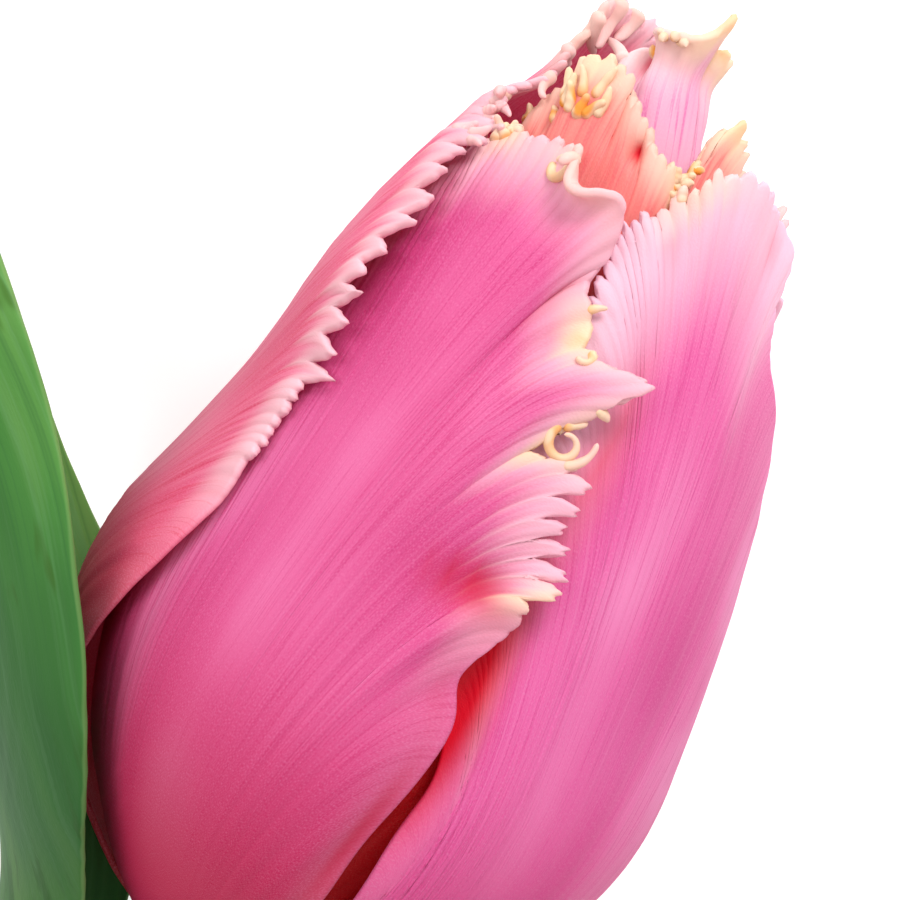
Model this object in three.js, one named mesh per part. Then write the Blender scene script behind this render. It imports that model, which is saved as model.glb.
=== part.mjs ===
// A cut fringed tulip, lying on its side: one stem, two clasping leaves, and a nearly closed bloom
// of six fringed tepals round a pistil and six stamens.
// Millimetres, +Z up. The bloom's axis lies along +X, base to tip. The origin is the small flat
// spot under the bloom's belly, on the surface that the flower lies on.

import * as THREE from 'three';
import { mergeVertices } from 'three/addons/utils/BufferGeometryUtils.js';

// ---------------------------------------------------------------- driving dimensions

const REST_HEIGHT = 19.4; // the bloom's axis above the surface, a little less than its radius
const REST_STATION = 21; // from the bloom's base to the spot that it rests on

// The closed bloom's outer form: [height above the base, radius].
const BLOOM_PROFILE = [
  [0, 5.3], [2, 8.5], [6, 12.6], [12, 17.0], [20, 19.1], [30, 17.8],
  [40, 15.5], [48, 13.1], [56, 10.1], [62, 7.9], [70, 5.4],
];

// How far the inner ring of tepals stands inside that form: [height, depth].
const INNER_RING_DEPTH = [[0, 2.0], [2, 2.8], [6, 3.2], [12, 3.3], [35, 3.3], [56, 2.3], [70, 2.0]];

const TEPAL_THICKNESS = 0.7;
const TEPAL_OVERLAP_RISE = 1 / 60; // how far an outer tepal stands out for each degree from its middle
const OVERLAP_GROWTH = 16; // twice the height over which it grows from half to the whole of that
const TEPAL_COLUMNS = 28; // blade columns, each following a vein
const TEPAL_ROWS = [0, 0.18, 0.32, 0.4, 0.48, 0.62, 0.77, 0.88, 0.955]; // as shares of a vein
const FRINGE_COLUMNS = 140; // margin columns, two for each tooth
const SHORTEST_TOOTH = 0.8;
const LONGEST_TOOTH = 2.0;
const FRINGE_RUN_IN = 0.05; // share of the margin over which the fringe grows to full length
const FRINGE_AIM = 0.97; // teeth carry on the direction that the veins have from this share on
const CURL_START = 12; // the power of the vein's share by which a curl rises, late and steeply
const OUTLINE_SAMPLES = 24; // for each station of a tepal's outline
const VEIN_KNEE_HEIGHT = 0.64; // where a vein starts to turn outward, as a share of its end's height
const VEIN_KNEE_SPREAD = 0.22; // how far it has spread by then

const STEM_SIDES = 12;
const STEM_RINGS = 26;
const STEM_RING_SPREAD = 1.6; // power that spreads the rings out from the bloom down
const STEM_RADIUS = 3.4;
const STEM_FOOT_RADIUS = 3.5;
const RECEPTACLE_RADIUS = 6.1;
const RECEPTACLE_LENGTH = 7;
const RECEPTACLE_TOP = -0.8; // the stem's top, just under the tepals' claws

// The stem's centre line, from the receptacle down to the cut end, from the bloom's base.
const STEM_PATH = [
  [RECEPTACLE_TOP, 0, 0], [-30, 0.3, -0.3], [-70, -1, -2.6], [-115, -6.5, -7],
  [-160, -17, -11.6], [-205, -31, -15], [-240, -43, STEM_FOOT_RADIUS - REST_HEIGHT],
];

// Leaf stations from clasping base to tip, from the bloom's base. Each is
// [x, y, z of the keel, half width, radius of the channel, direction that the channel opens to],
// with that direction in degrees from the leaf's left hand, through 90 for up, to 180 for its right.
const UPPER_LEAF = [
  [-62, 4.1, -2.0, 6.0, 4.4, 180], [-46, 5.4, -1.2, 7.5, 4.8, 180],
  [-30, 7.4, -0.5, 8.8, 5.6, 180], [-15, 10.4, 0.0, 9.8, 6.6, 180],
  [-3, 13.8, 0.2, 11.6, 8.8, 180], [4, 18.1, 0.6, 15.4, 13.8, 181],
  [8.5, 21.9, 0.9, 17.2, 15.6, 183], [12.5, 25.5, 0.8, 17.4, 15.6, 185],
  [17.5, 31.0, 0.4, 17.0, 14.4, 186], [22.5, 38.0, -0.8, 15.4, 13.4, 184],
  [27, 45, -3.0, 12.8, 12.4, 172], [32, 55, -7.0, 10.4, 12.0, 155],
  [38, 66, -12.0, 7.6, 11.0, 135], [43, 76, -16.0, 4.4, 9.0, 115],
  [47, 85, -18.3, 0.6, 8.0, 100],
];
const LOWER_LEAF = [
  [-168, -24.6, -12.2, 6.5, 4.6, 0], [-150, -20.9, -11.3, 8.5, 5.4, 8],
  [-130, -20.0, -12.7, 10.5, 7.2, 25], [-108, -23.5, -15.7, 13.0, 10.0, 50],
  [-84, -31.0, -17.9, 14.5, 13.0, 75], [-58, -42.0, -18.5, 14.0, 14.0, 88],
  [-32, -54.0, -18.6, 12.0, 13.0, 92], [-8, -65.0, -18.5, 8.5, 12.0, 94],
  [12, -73.0, -18.3, 4.5, 10.0, 92], [26, -78.0, -18.2, 0.6, 8.0, 90],
];
const LEAF_ROWS = 26;
const LEAF_COLUMNS = 8;
const LEAF_EDGE_THICKNESS = 0.8;
const LEAF_KEEL_THICKNESS = 1.5;

const STAMEN_COUNT = 6;
const STAMEN_RING_RADIUS = 2.1;
const STAMEN_LEAN = 15; // degrees outward
const PART_BASE = -0.3; // where the pistil and stamens start, just above the receptacle
const STIGMA_LOBE = 0.3; // how far the stigma's three lobes stand out, as a share of its radius
const OVARY_LOBE = 0.07; // the same for the ovary's three rounded corners

const PINK = 0xe4508e;
const PALE_PINK = 0xef8fb4;
const LEAF_GREEN = 0x5f9a68;
const STEM_GREEN = 0x86ad62;
const PISTIL_GREEN = 0xcfd68e;
const ANTHER_PURPLE = 0x4a2d4e;

// The six tepals. Azimuths are in degrees round the bloom, from its upper side towards -Y.
//   centre, claw   the azimuth of its middle, and half the width of its foot
//   ring           outer or inner
//   outline        [azimuth, height] from the foot's one side over the tip to the other
//   fringe         the stretch of the outline that is fringed, as shares of its length
//   sink           [azimuth, reach, height, reach, depth] of a flank that is pressed in
//   swell          [height, amount] stations of how far it stands out from its ring
//   lean           [height, shift] stations of how far it leans towards azimuth 90
//   horns          [share, length] of teeth much longer than the rest
//   curls          [share, reach, rise] of stretches whose edge stands off the bloom
const TEPALS = [
  {
    name: 'tepal_front_left', centre: -28, claw: 33, ring: 'outer',
    outline: [
      [-70, 6], [-86, 14], [-90, 24], [-88, 36], [-78, 47], [-60, 55], [-36, 57.2],
      [-14, 56.8], [0, 53.5], [11, 47], [17, 40], [18, 33], [16, 25], [15, 16], [10, 6],
    ],
    fringe: [0.22, 0.76],
    sink: [-80, 26, 14, 14, 1.1],
    horns: [[0.605, 2.6], [0.645, 2.8], [0.69, 2.4]],
    curls: [[0.54, 0.03, 1.4], [0.605, 0.02, 0.9], [0.66, 0.02, 1.4], [0.75, 0.03, 0.8]],
  },
  {
    name: 'tepal_front_right', centre: 44, claw: 32, ring: 'outer',
    outline: [
      [19, 6], [18, 15], [14, 25], [4, 34], [-3, 42], [0, 50], [8, 57],
      [24, 61.5], [44, 61.5], [62, 58], [78, 50], [92, 38], [99, 26], [98, 14], [84, 6],
    ],
    fringe: [0.2, 0.78],
    horns: [[0.475, 3]],
    curls: [[0.5, 0.05, 1.2], [0.58, 0.04, 1.0]],
  },
  {
    name: 'tepal_left', centre: -112, claw: 34, ring: 'outer',
    outline: [
      [-152, 6], [-168, 15], [-176, 28], [-174, 40], [-166, 50], [-154, 58], [-138, 63.5],
      [-116, 65.5], [-97, 64.5], [-84, 60.5], [-72, 56], [-60, 51], [-52, 44], [-47, 34],
      [-47, 26], [-56, 17], [-74, 6],
    ],
    swell: [[56, 0], [60, 0.1], [63, 0.8], [67, 1.8]],
    fringe: [0.2, 0.79],
    horns: [],
    curls: [[0.64, 0.1, 0.6]],
  },
  {
    name: 'tepal_back_right', centre: 137, claw: 34, ring: 'outer',
    outline: [
      [100, 6], [84, 14], [76, 25], [78, 36], [92, 47], [112, 54.5], [134, 57.5],
      [158, 55], [178, 47], [194, 36], [198, 25], [190, 14], [172, 6],
    ],
    fringe: [0.22, 0.78],
    horns: [],
    curls: [[0.5, 0.06, 1.0], [0.6, 0.05, 0.8]],
  },
  {
    name: 'tepal_inner_front', centre: -14, claw: 34, ring: 'inner',
    outline: [
      [-46, 6], [-58, 15], [-62, 27], [-62, 40], [-58, 51], [-48, 58], [-30, 61],
      [-8, 60.5], [12, 58], [26, 50], [32, 40], [34, 27], [30, 15], [18, 6],
    ],
    fringe: [0.25, 0.75],
    horns: [[0.47, 2.6], [0.5, 2.4]],
    curls: [[0.46, 0.03, 0.8], [0.53, 0.03, 0.9]],
  },
  {
    name: 'tepal_inner_right', centre: 65, claw: 34, ring: 'inner',
    outline: [
      [33, 6], [41, 14], [36, 22], [18, 31], [-4, 40], [-26, 50], [-46, 58], [-66, 63],
      [-48, 66], [-14, 66.5], [24, 66.5], [57, 67], [88, 65.5], [108, 63], [118, 57],
      [128, 48], [134, 38], [132, 26], [122, 15], [100, 6],
    ],
    swell: [
      [8, 0], [18, -1.2], [40, -1.6], [48, -1.8], [55, -2.4], [58, -2.9], [60, -3.1], [62, -2.9], [64, -3.1],
      [66, -2.4], [69, -1.4],
    ],
    lean: [[44, 0], [52, -0.8], [58, -1.9], [62, -2.6], [67, -3]],
    fringe: [0.25, 0.75],
    horns: [[0.505, 3.2], [0.535, 3]],
    curls: [[0.46, 0.04, 0.4]],
  },
];

// ---------------------------------------------------------------- small helpers

// A repeatable stream of numbers from 0 to 1.
function seededRandom(seed) {
  let state = seed;
  return () => {
    state = (state * 1664525 + 1013904223) % 4294967296;
    return state / 4294967296;
  };
}

// The value at x of a smooth curve through stations [x, value].
function smoothValue(stations, x) {
  const last = stations.length - 1;
  const reach = THREE.MathUtils.clamp(x, stations[0][0], stations[last][0]);
  let i = 0;
  while (i < last - 1 && reach > stations[i + 1][0]) i += 1;
  const slope = (k) => {
    const before = stations[Math.max(k - 1, 0)];
    const after = stations[Math.min(k + 1, last)];
    return (after[1] - before[1]) / (after[0] - before[0]);
  };
  const width = stations[i + 1][0] - stations[i][0];
  const t = (reach - stations[i][0]) / width;
  const fromStart = (2 * t ** 3 - 3 * t ** 2 + 1) * stations[i][1];
  const fromStartSlope = (t ** 3 - 2 * t ** 2 + t) * width * slope(i);
  const fromEnd = (3 * t ** 2 - 2 * t ** 3) * stations[i + 1][1];
  const fromEndSlope = (t ** 3 - t ** 2) * width * slope(i + 1);
  return fromStart + fromStartSlope + fromEnd + fromEndSlope;
}

// A bump that is 1 at its middle and fades out over its reach.
function bump(x, middle, reach) {
  return Math.exp(-(((x - middle) / reach) ** 2));
}

// A point of the bloom, whose own axis is Z and whose azimuth 0 is X.
function bloomPoint(azimuth, height, radius) {
  const angle = THREE.MathUtils.degToRad(azimuth);
  return new THREE.Vector3(radius * Math.cos(angle), radius * Math.sin(angle), height);
}

// Triangles between two rows of vertex numbers that run the same way, of any two lengths.
function stitchRows(lower, upper) {
  const faces = [];
  let i = 0;
  let j = 0;
  while (i < lower.length - 1 || j < upper.length - 1) {
    const nextLower = (i + 0.5) / (lower.length - 1);
    const nextUpper = (j + 0.5) / (upper.length - 1);
    if (j === upper.length - 1 || (i < lower.length - 1 && nextLower <= nextUpper)) {
      faces.push([lower[i], lower[i + 1], upper[j]]);
      i += 1;
    } else {
      faces.push([lower[i], upper[j + 1], upper[j]]);
      j += 1;
    }
  }
  return faces;
}

// A sheet from rows of points, as points, faces, and the loop of vertex numbers round its border.
function sheetFromRows(rows) {
  const points = rows.flat();
  const faces = [];
  const numbered = [];
  let first = 0;
  for (const row of rows) {
    numbered.push(row.map((_, k) => first + k));
    first += row.length;
  }
  for (let k = 0; k < rows.length - 1; k += 1) faces.push(...stitchRows(numbered[k], numbered[k + 1]));
  const top = numbered[numbered.length - 1];
  const middle = numbered.slice(1, -1);
  const border = [
    ...numbered[0],
    ...middle.map((row) => row[row.length - 1]),
    ...[...top].reverse(),
    ...middle.map((row) => row[0]).reverse(),
  ];
  return { points, faces, border };
}

function indexedGeometry(points, faces) {
  const geometry = new THREE.BufferGeometry();
  const numbers = points.flatMap((point) => point.toArray());
  geometry.setAttribute('position', new THREE.Float32BufferAttribute(numbers, 3));
  geometry.setIndex(faces.flat());
  return geometry;
}

// A closed blade: the sheet moved half its thickness to either side, with a rim round its border.
function thickenSheet(sheet, thicknessAt) {
  const middle = indexedGeometry(sheet.points, sheet.faces);
  middle.computeVertexNormals();
  const normals = middle.getAttribute('normal');
  const count = sheet.points.length;
  const moved = (side) => sheet.points.map((point, k) => {
    const normal = new THREE.Vector3().fromBufferAttribute(normals, k);
    return point.clone().addScaledVector(normal, side * thicknessAt(k) / 2);
  });
  const faces = [];
  for (const [a, b, c] of sheet.faces) {
    faces.push([a, b, c]);
    faces.push([a + count, c + count, b + count]);
  }
  sheet.border.forEach((a, k) => {
    const b = sheet.border[(k + 1) % sheet.border.length];
    faces.push([b, a, a + count]);
    faces.push([b, a + count, b + count]);
  });
  return indexedGeometry([...moved(1), ...moved(-1)], faces);
}

// A closed tube along a curve, with a ring at each of some shares of its length.
function taperedTube(curve, radiusAt, shares, sides) {
  const points = [];
  const faces = [];
  for (const share of shares) {
    const centre = curve.getPointAt(share);
    const forward = curve.getTangentAt(share);
    const side = new THREE.Vector3(0, 0, 1).cross(forward).normalize();
    const up = forward.clone().cross(side);
    for (let k = 0; k < sides; k += 1) {
      const angle = (2 * Math.PI * k) / sides;
      points.push(centre.clone()
        .addScaledVector(side, radiusAt(share) * Math.cos(angle))
        .addScaledVector(up, radiusAt(share) * Math.sin(angle)));
    }
  }
  const lastRing = (shares.length - 1) * sides;
  for (let ring = 0; ring < lastRing; ring += sides) {
    for (let k = 0; k < sides; k += 1) {
      const a = ring + k;
      const b = ring + ((k + 1) % sides);
      faces.push([a, b, b + sides]);
      faces.push([a, b + sides, a + sides]);
    }
  }
  const startCentre = points.push(curve.getPointAt(0)) - 1;
  const endCentre = points.push(curve.getPointAt(1)) - 1;
  for (let k = 0; k < sides; k += 1) {
    const next = (k + 1) % sides;
    faces.push([startCentre, next, k]);
    faces.push([endCentre, lastRing + k, lastRing + next]);
  }
  return indexedGeometry(points, faces);
}

function namedMesh(name, geometry, color) {
  const material = new THREE.MeshStandardMaterial({ color, roughness: 0.55, metalness: 0 });
  const mesh = new THREE.Mesh(geometry, material);
  mesh.name = name;
  return mesh;
}

// ---------------------------------------------------------------- tepals

// A tepal's outline, looked up by its share of the outline's real length.
function measuredOutline(tepal) {
  const corners = tepal.outline.map(([azimuth, height]) => new THREE.Vector2(azimuth, height));
  const curve = new THREE.SplineCurve(corners);
  const samples = curve.getPoints(corners.length * OUTLINE_SAMPLES);
  const places = samples.map((p) => bloomPoint(p.x, p.y, tepalRadius(tepal, p.x, p.y)));
  const lengths = [0];
  for (let k = 1; k < places.length; k += 1) {
    lengths.push(lengths[k - 1] + places[k].distanceTo(places[k - 1]));
  }
  const total = lengths[lengths.length - 1];
  return (share) => {
    let k = 1;
    while (k < lengths.length - 1 && lengths[k] < share * total) k += 1;
    const t = (share * total - lengths[k - 1]) / (lengths[k] - lengths[k - 1]);
    return samples[k - 1].clone().lerp(samples[k], t);
  };
}

// The radius of a tepal's middle surface at an azimuth and height.
function tepalRadius(tepal, azimuth, height) {
  const fromCentre = azimuth - tepal.centre;
  const grown = THREE.MathUtils.clamp(0.5 + height / OVERLAP_GROWTH, 0, 1);
  let radius = smoothValue(BLOOM_PROFILE, height);
  if (tepal.ring === 'inner') radius -= smoothValue(INNER_RING_DEPTH, height);
  else radius += grown * TEPAL_OVERLAP_RISE * fromCentre;
  if (tepal.sink) {
    const [middle, reach, sinkHeight, heightReach, depth] = tepal.sink;
    radius -= depth * bump(azimuth, middle, reach) * bump(height, sinkHeight, heightReach);
  }
  if (tepal.swell) radius += smoothValue(tepal.swell, height);
  return radius;
}

// The point at a share of the way up the vein that ends at a share of the outline.
function tepalPoint(tepal, outline, share, along) {
  const end = outline(share);
  const foot = new THREE.Vector2(tepal.centre + (2 * share - 1) * tepal.claw, 0);
  const knee = new THREE.Vector2(
    foot.x + VEIN_KNEE_SPREAD * (end.x - foot.x),
    VEIN_KNEE_HEIGHT * end.y,
  );
  const place = new THREE.QuadraticBezierCurve(foot, knee, end).getPoint(along);
  let rise = 0;
  for (const [middle, reach, height] of tepal.curls) rise += height * bump(share, middle, reach);
  const radius = tepalRadius(tepal, place.x, place.y) + rise * along ** CURL_START;
  const point = bloomPoint(place.x, place.y, radius);
  if (tepal.lean) point.y += smoothValue(tepal.lean, place.y);
  return point;
}

// The length of the tooth at a share of the outline, which fades out at the fringe's two ends.
function toothLength(tepal, share, random) {
  const [start, end] = tepal.fringe;
  const runIn = THREE.MathUtils.smoothstep(share, start - FRINGE_RUN_IN, start + FRINGE_RUN_IN);
  const runOut = 1 - THREE.MathUtils.smoothstep(share, end - FRINGE_RUN_IN, end + FRINGE_RUN_IN);
  let length = THREE.MathUtils.lerp(SHORTEST_TOOTH, LONGEST_TOOTH, random()) * runIn * runOut;
  for (const [middle, height] of tepal.horns) {
    if (Math.abs(share - middle) < 1 / FRINGE_COLUMNS) length = height;
  }
  return length;
}

// Lifts what would sink into the surface that the bloom lies on. A blade's outer points come first,
// and its inner points stay a blade's thickness above them.
function pressFlat(blade) {
  const positions = blade.getAttribute('position');
  for (let k = 0; k < positions.count; k += 1) {
    const above = k < positions.count / 2 ? 0 : TEPAL_THICKNESS;
    positions.setX(k, Math.max(positions.getX(k), above - REST_HEIGHT));
  }
  return blade;
}

function tepalGeometry(tepal, random) {
  const outline = measuredOutline(tepal);
  const rows = TEPAL_ROWS.map((along) => Array.from(
    { length: TEPAL_COLUMNS + 1 },
    (_, k) => tepalPoint(tepal, outline, k / TEPAL_COLUMNS, along),
  ));
  const margin = [];
  for (let k = 0; k <= FRINGE_COLUMNS; k += 1) {
    const share = k / FRINGE_COLUMNS;
    const edge = tepalPoint(tepal, outline, share, 1);
    const outward = edge.clone().sub(tepalPoint(tepal, outline, share, FRINGE_AIM)).normalize();
    const length = toothLength(tepal, share, random);
    margin.push(k % 2 === 1 ? edge.addScaledVector(outward, length) : edge);
  }
  rows.push(margin);
  return pressFlat(thickenSheet(sheetFromRows(rows), () => TEPAL_THICKNESS));
}

function tepalMeshes() {
  return TEPALS.map((tepal, k) => {
    const color = tepal.ring === 'outer' ? PINK : PALE_PINK;
    return namedMesh(tepal.name, tepalGeometry(tepal, seededRandom(11 + k)), color);
  });
}

// ---------------------------------------------------------------- pistil and stamens

// A closed turned form about Z from stations [radius, height], starting and ending on the axis.
function turned(stations, sides) {
  const geometry = new THREE.LatheGeometry(stations.map(([r, h]) => new THREE.Vector2(r, h)), sides);
  geometry.rotateX(Math.PI / 2);
  geometry.deleteAttribute('normal');
  geometry.deleteAttribute('uv');
  return mergeVertices(geometry, 1e-4);
}

// The three-cornered ovary, with a stigma that swells into three lobes above it.
function pistil() {
  const stigmaStart = 19;
  const geometry = turned([
    [0, PART_BASE], [1.1, PART_BASE], [1.5, 2], [2.3, 5], [2.5, 11], [2.2, 17],
    [1.9, 19], [2.6, 20.6], [3.2, 22], [2.4, 23.2], [0, 23.4],
  ], 12);
  const positions = geometry.getAttribute('position');
  for (let k = 0; k < positions.count; k += 1) {
    const point = new THREE.Vector3().fromBufferAttribute(positions, k);
    const azimuth = Math.atan2(point.y, point.x);
    const depth = point.z > stigmaStart ? STIGMA_LOBE : OVARY_LOBE;
    const lobe = 1 + depth * Math.cos(3 * azimuth);
    positions.setXYZ(k, point.x * lobe, point.y * lobe, point.z);
  }
  return namedMesh('pistil', geometry, PISTIL_GREEN);
}

// A stamen: a tapering filament with a long anther on its end.
function stamen(number) {
  const geometry = turned([
    [0, PART_BASE], [0.55, PART_BASE], [0.75, 3], [0.5, 8], [0.55, 8.6], [1.15, 9.6],
    [1.3, 13], [1.1, 17], [0.6, 18.8], [0, 19.2],
  ], 8);
  const mesh = namedMesh(`stamen_${number + 1}`, geometry, ANTHER_PURPLE);
  const azimuth = THREE.MathUtils.degToRad((number + 0.5) * (360 / STAMEN_COUNT));
  geometry.rotateY(THREE.MathUtils.degToRad(STAMEN_LEAN));
  geometry.translate(STAMEN_RING_RADIUS, 0, 0);
  mesh.rotation.z = azimuth;
  return mesh;
}

// ---------------------------------------------------------------- stem and leaves

function stem() {
  const curve = new THREE.CatmullRomCurve3(STEM_PATH.map((p) => new THREE.Vector3(...p)));
  const length = curve.getLength();
  const radiusAt = (share) => {
    const shaft = THREE.MathUtils.lerp(STEM_RADIUS, STEM_FOOT_RADIUS, share);
    const flare = Math.max(0, 1 - (share * length) / RECEPTACLE_LENGTH);
    return shaft + (RECEPTACLE_RADIUS - STEM_RADIUS) * flare ** 2;
  };
  // Rings stand closer together where the stem flares into the receptacle.
  const shares = Array.from({ length: STEM_RINGS + 1 }, (_, k) => (k / STEM_RINGS) ** STEM_RING_SPREAD);
  return namedMesh('stem', taperedTube(curve, radiusAt, shares, STEM_SIDES), STEM_GREEN);
}

// One row of a leaf: an arc across its channel, square to the keel.
function leafRow(place, forward, [halfWidth, channel, opens]) {
  const left = new THREE.Vector3(0, 0, 1).cross(forward).normalize();
  const turn = THREE.MathUtils.degToRad(opens);
  const inward = left.multiplyScalar(Math.cos(turn)).add(new THREE.Vector3(0, 0, Math.sin(turn)));
  inward.addScaledVector(forward, -inward.dot(forward)).normalize();
  const across = inward.clone().cross(forward);
  const row = [];
  for (let k = 0; k <= LEAF_COLUMNS; k += 1) {
    const angle = ((2 * k) / LEAF_COLUMNS - 1) * (halfWidth / channel);
    row.push(place.clone()
      .addScaledVector(across, channel * Math.sin(angle))
      .addScaledVector(inward, channel * (1 - Math.cos(angle))));
  }
  return row;
}

function leaf(name, stations) {
  const keel = new THREE.CatmullRomCurve3(stations.map(([x, y, z]) => new THREE.Vector3(x, y, z)));
  const form = new THREE.CatmullRomCurve3(stations.map(([, , , w, r, o]) => new THREE.Vector3(w, r, o)));
  const rows = [];
  for (let i = 0; i <= LEAF_ROWS; i += 1) {
    const share = i / LEAF_ROWS;
    rows.push(leafRow(keel.getPoint(share), keel.getTangent(share), form.getPoint(share).toArray()));
  }
  const thicknessAt = (k) => {
    const fromKeel = Math.abs((2 * (k % (LEAF_COLUMNS + 1))) / LEAF_COLUMNS - 1);
    return THREE.MathUtils.lerp(LEAF_KEEL_THICKNESS, LEAF_EDGE_THICKNESS, Math.min(1, 2 * fromKeel));
  };
  return namedMesh(name, thickenSheet(sheetFromRows(rows), thicknessAt), LEAF_GREEN);
}

// ---------------------------------------------------------------- the flower

// The bloom is modelled upright about Z and laid down, so that its azimuth 0 faces up.
const bloom = new THREE.Group();
bloom.quaternion.setFromAxisAngle(new THREE.Vector3(1, 0, 1).normalize(), Math.PI);
bloom.add(...tepalMeshes(), pistil());
for (let number = 0; number < STAMEN_COUNT; number += 1) bloom.add(stamen(number));

const flower = new THREE.Group();
flower.position.set(-REST_STATION, 0, REST_HEIGHT);
flower.add(bloom, stem(), leaf('leaf_upper', UPPER_LEAF), leaf('leaf_lower', LOWER_LEAF));

const part = new THREE.Group();
part.add(flower);
part.updateMatrixWorld(true);

export default part;
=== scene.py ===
"""A cut fringed tulip, lying on its side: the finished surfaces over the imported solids.

The bloom's own frame is in millimetres: azimuth in degrees round its axis, from its upper side
towards -Y, height along the axis from the base, and radius. lay_down() turns that frame into the
part's, which is in metres.
"""

import functools
import math

import bpy
import numpy as np
from mathutils import Matrix, Vector


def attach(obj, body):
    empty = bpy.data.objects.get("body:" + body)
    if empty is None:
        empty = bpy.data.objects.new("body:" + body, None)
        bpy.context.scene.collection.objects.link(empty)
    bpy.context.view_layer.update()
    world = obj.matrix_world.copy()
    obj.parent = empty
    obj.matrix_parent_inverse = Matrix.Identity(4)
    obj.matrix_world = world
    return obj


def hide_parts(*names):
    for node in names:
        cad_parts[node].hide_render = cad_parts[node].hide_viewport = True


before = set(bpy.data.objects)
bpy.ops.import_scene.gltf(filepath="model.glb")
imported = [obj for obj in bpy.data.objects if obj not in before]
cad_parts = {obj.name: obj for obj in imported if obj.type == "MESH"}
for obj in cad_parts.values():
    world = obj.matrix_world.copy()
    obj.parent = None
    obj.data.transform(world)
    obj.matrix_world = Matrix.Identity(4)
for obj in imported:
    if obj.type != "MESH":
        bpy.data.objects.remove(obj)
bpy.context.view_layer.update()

MM = 0.001

# ---------------------------------------------------------------- the bloom's form, in millimetres

REST_HEIGHT = 19.4  # the bloom's axis above the surface
REST_STATION = 21   # from the bloom's base to the spot that it rests on
# The leaves and the stem are given lying, from the bloom's base.
FROM_BLOOM_BASE = np.array([-REST_STATION, 0, REST_HEIGHT])

# The closed bloom's outer form: [height above the base, radius].
BLOOM_PROFILE = [
    [0, 5.3], [2, 8.5], [6, 12.6], [12, 17], [20, 19.1], [30, 17.8],
    [40, 15.5], [48, 13.1], [56, 10.1], [62, 7.9], [70, 5.4],
]
# How far the inner ring of tepals stands inside that form: [height, depth].
INNER_RING_DEPTH = [[0, 2], [2, 2.8], [6, 3.2], [12, 3.3], [35, 3.3], [56, 2.3], [70, 2]]

OVERLAP_RISE = 1 / 60      # how far an outer tepal stands out for each degree from its middle
OVERLAP_GROWTH = 16        # twice the height over which it grows from half to the whole of that
VEIN_RISE = (0.12, 0.5)    # a vein's first handle: shares of its spread and of its height
MARGIN_SPAN = 9.0          # either way along the margin, over which its direction is taken
BLADE_THICKNESS = 0.42     # of a tepal in its middle
FRINGE_THICKNESS = 0.58    # of its fleshy teeth
RIM_ROUNDING = 0.3         # how near the edge the blade starts to round off
BAND_WIDTH = 4.6           # of the margin that may roll, ruffle and carry teeth
BAND_LIMIT = 0.6           # the band's largest share of a vein
BAND_ROWS = 27
ROW_CROWDING = 0.85        # exponent by which the band's rows crowd towards the edge
BLADE_ROWS = 18
PLAIN_COLUMN = 0.7         # between columns along the plain margin
COLUMNS_BEYOND = 0.06      # share of the margin beyond the fringe where fine columns go on
FRINGE_FADE = (0.05, 0.03)  # shares of the margin outside and inside the fringe's ends, where it fades
VEIN_SAMPLES = 60
PULL_REACH = 7.0           # from the margin, over which what pulls it fades out
PLEAT_DEPTH = 0.04         # of the ridges that run in from the teeth
PLEAT_REACH = 5.0          # from the margin, over which they fade out
SPREAD_LIMIT = 1.2         # of the ratio of the veins' spacing to that of their ends
RIB_DEPTH = 0.045          # of the faint ribs along the veins
RIB_SPACING = 1.9
RIPPLE_DEPTH = 0.02        # of finer ribs along the fringe
RIPPLE_SPACING = 0.5
WANDER_SPACINGS = (3.1, 1.3)  # over which the band's slope wanders, half as much over the second
RUFFLE_SPACINGS = (9, 5)      # over which the ruffle's phase and its height change
FLESHY_SPAN = (3, 0.8)     # from the edge, over which the blade thickens into the teeth
SLIT_WIDTH = 0.11          # half the width of the slits between teeth
TEETH_FADE = 0.04          # share of the margin over which the teeth grow at the fringe's ends
TOOTH_SLANT = 0.15         # how far a tooth may lean sideways, as a share of its length
TOOTH_WAVE = 0.12          # how uneven its outline is
CURL_RING_STEP = 0.14      # between a curl's rings
CURL_SIDES = 14
# What the material reads on a curl, as in Blade.values().
CURL_VALUES = dict(edge=0.6, rib=0, spread=1, fringed=1, tint=0, height=1, hollow=0)

# Kinds of fringe: ranges of the teeth's pitch, length, bluntness, slits between them, and bend.
FINGERS = dict(pitch=[1.1, 1.5], length=[1.3, 2], bluntness=[1.8, 4], slit=[0.1, 0.6], turn=[-5, 18])
SPIKES = dict(pitch=[1.3, 2.2], length=[1.6, 2.5], bluntness=[0.85, 1.2], slit=[0.1, 0.5], turn=[-5, 20])
TATTERS = dict(pitch=[0.7, 1.4], length=[0.5, 1.4], bluntness=[1.2, 2.6], slit=[0, 0.4], turn=[-40, 60])
SCALLOPS = dict(pitch=[0.6, 1.2], length=[0.2, 0.7], bluntness=[1.6, 3], slit=[0, 0.2], turn=[-25, 40])
RIM = dict(pitch=[0.8, 1.6], length=[0.05, 0.2], bluntness=[2, 3], slit=[0, 0.05], turn=[-5, 5])

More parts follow.
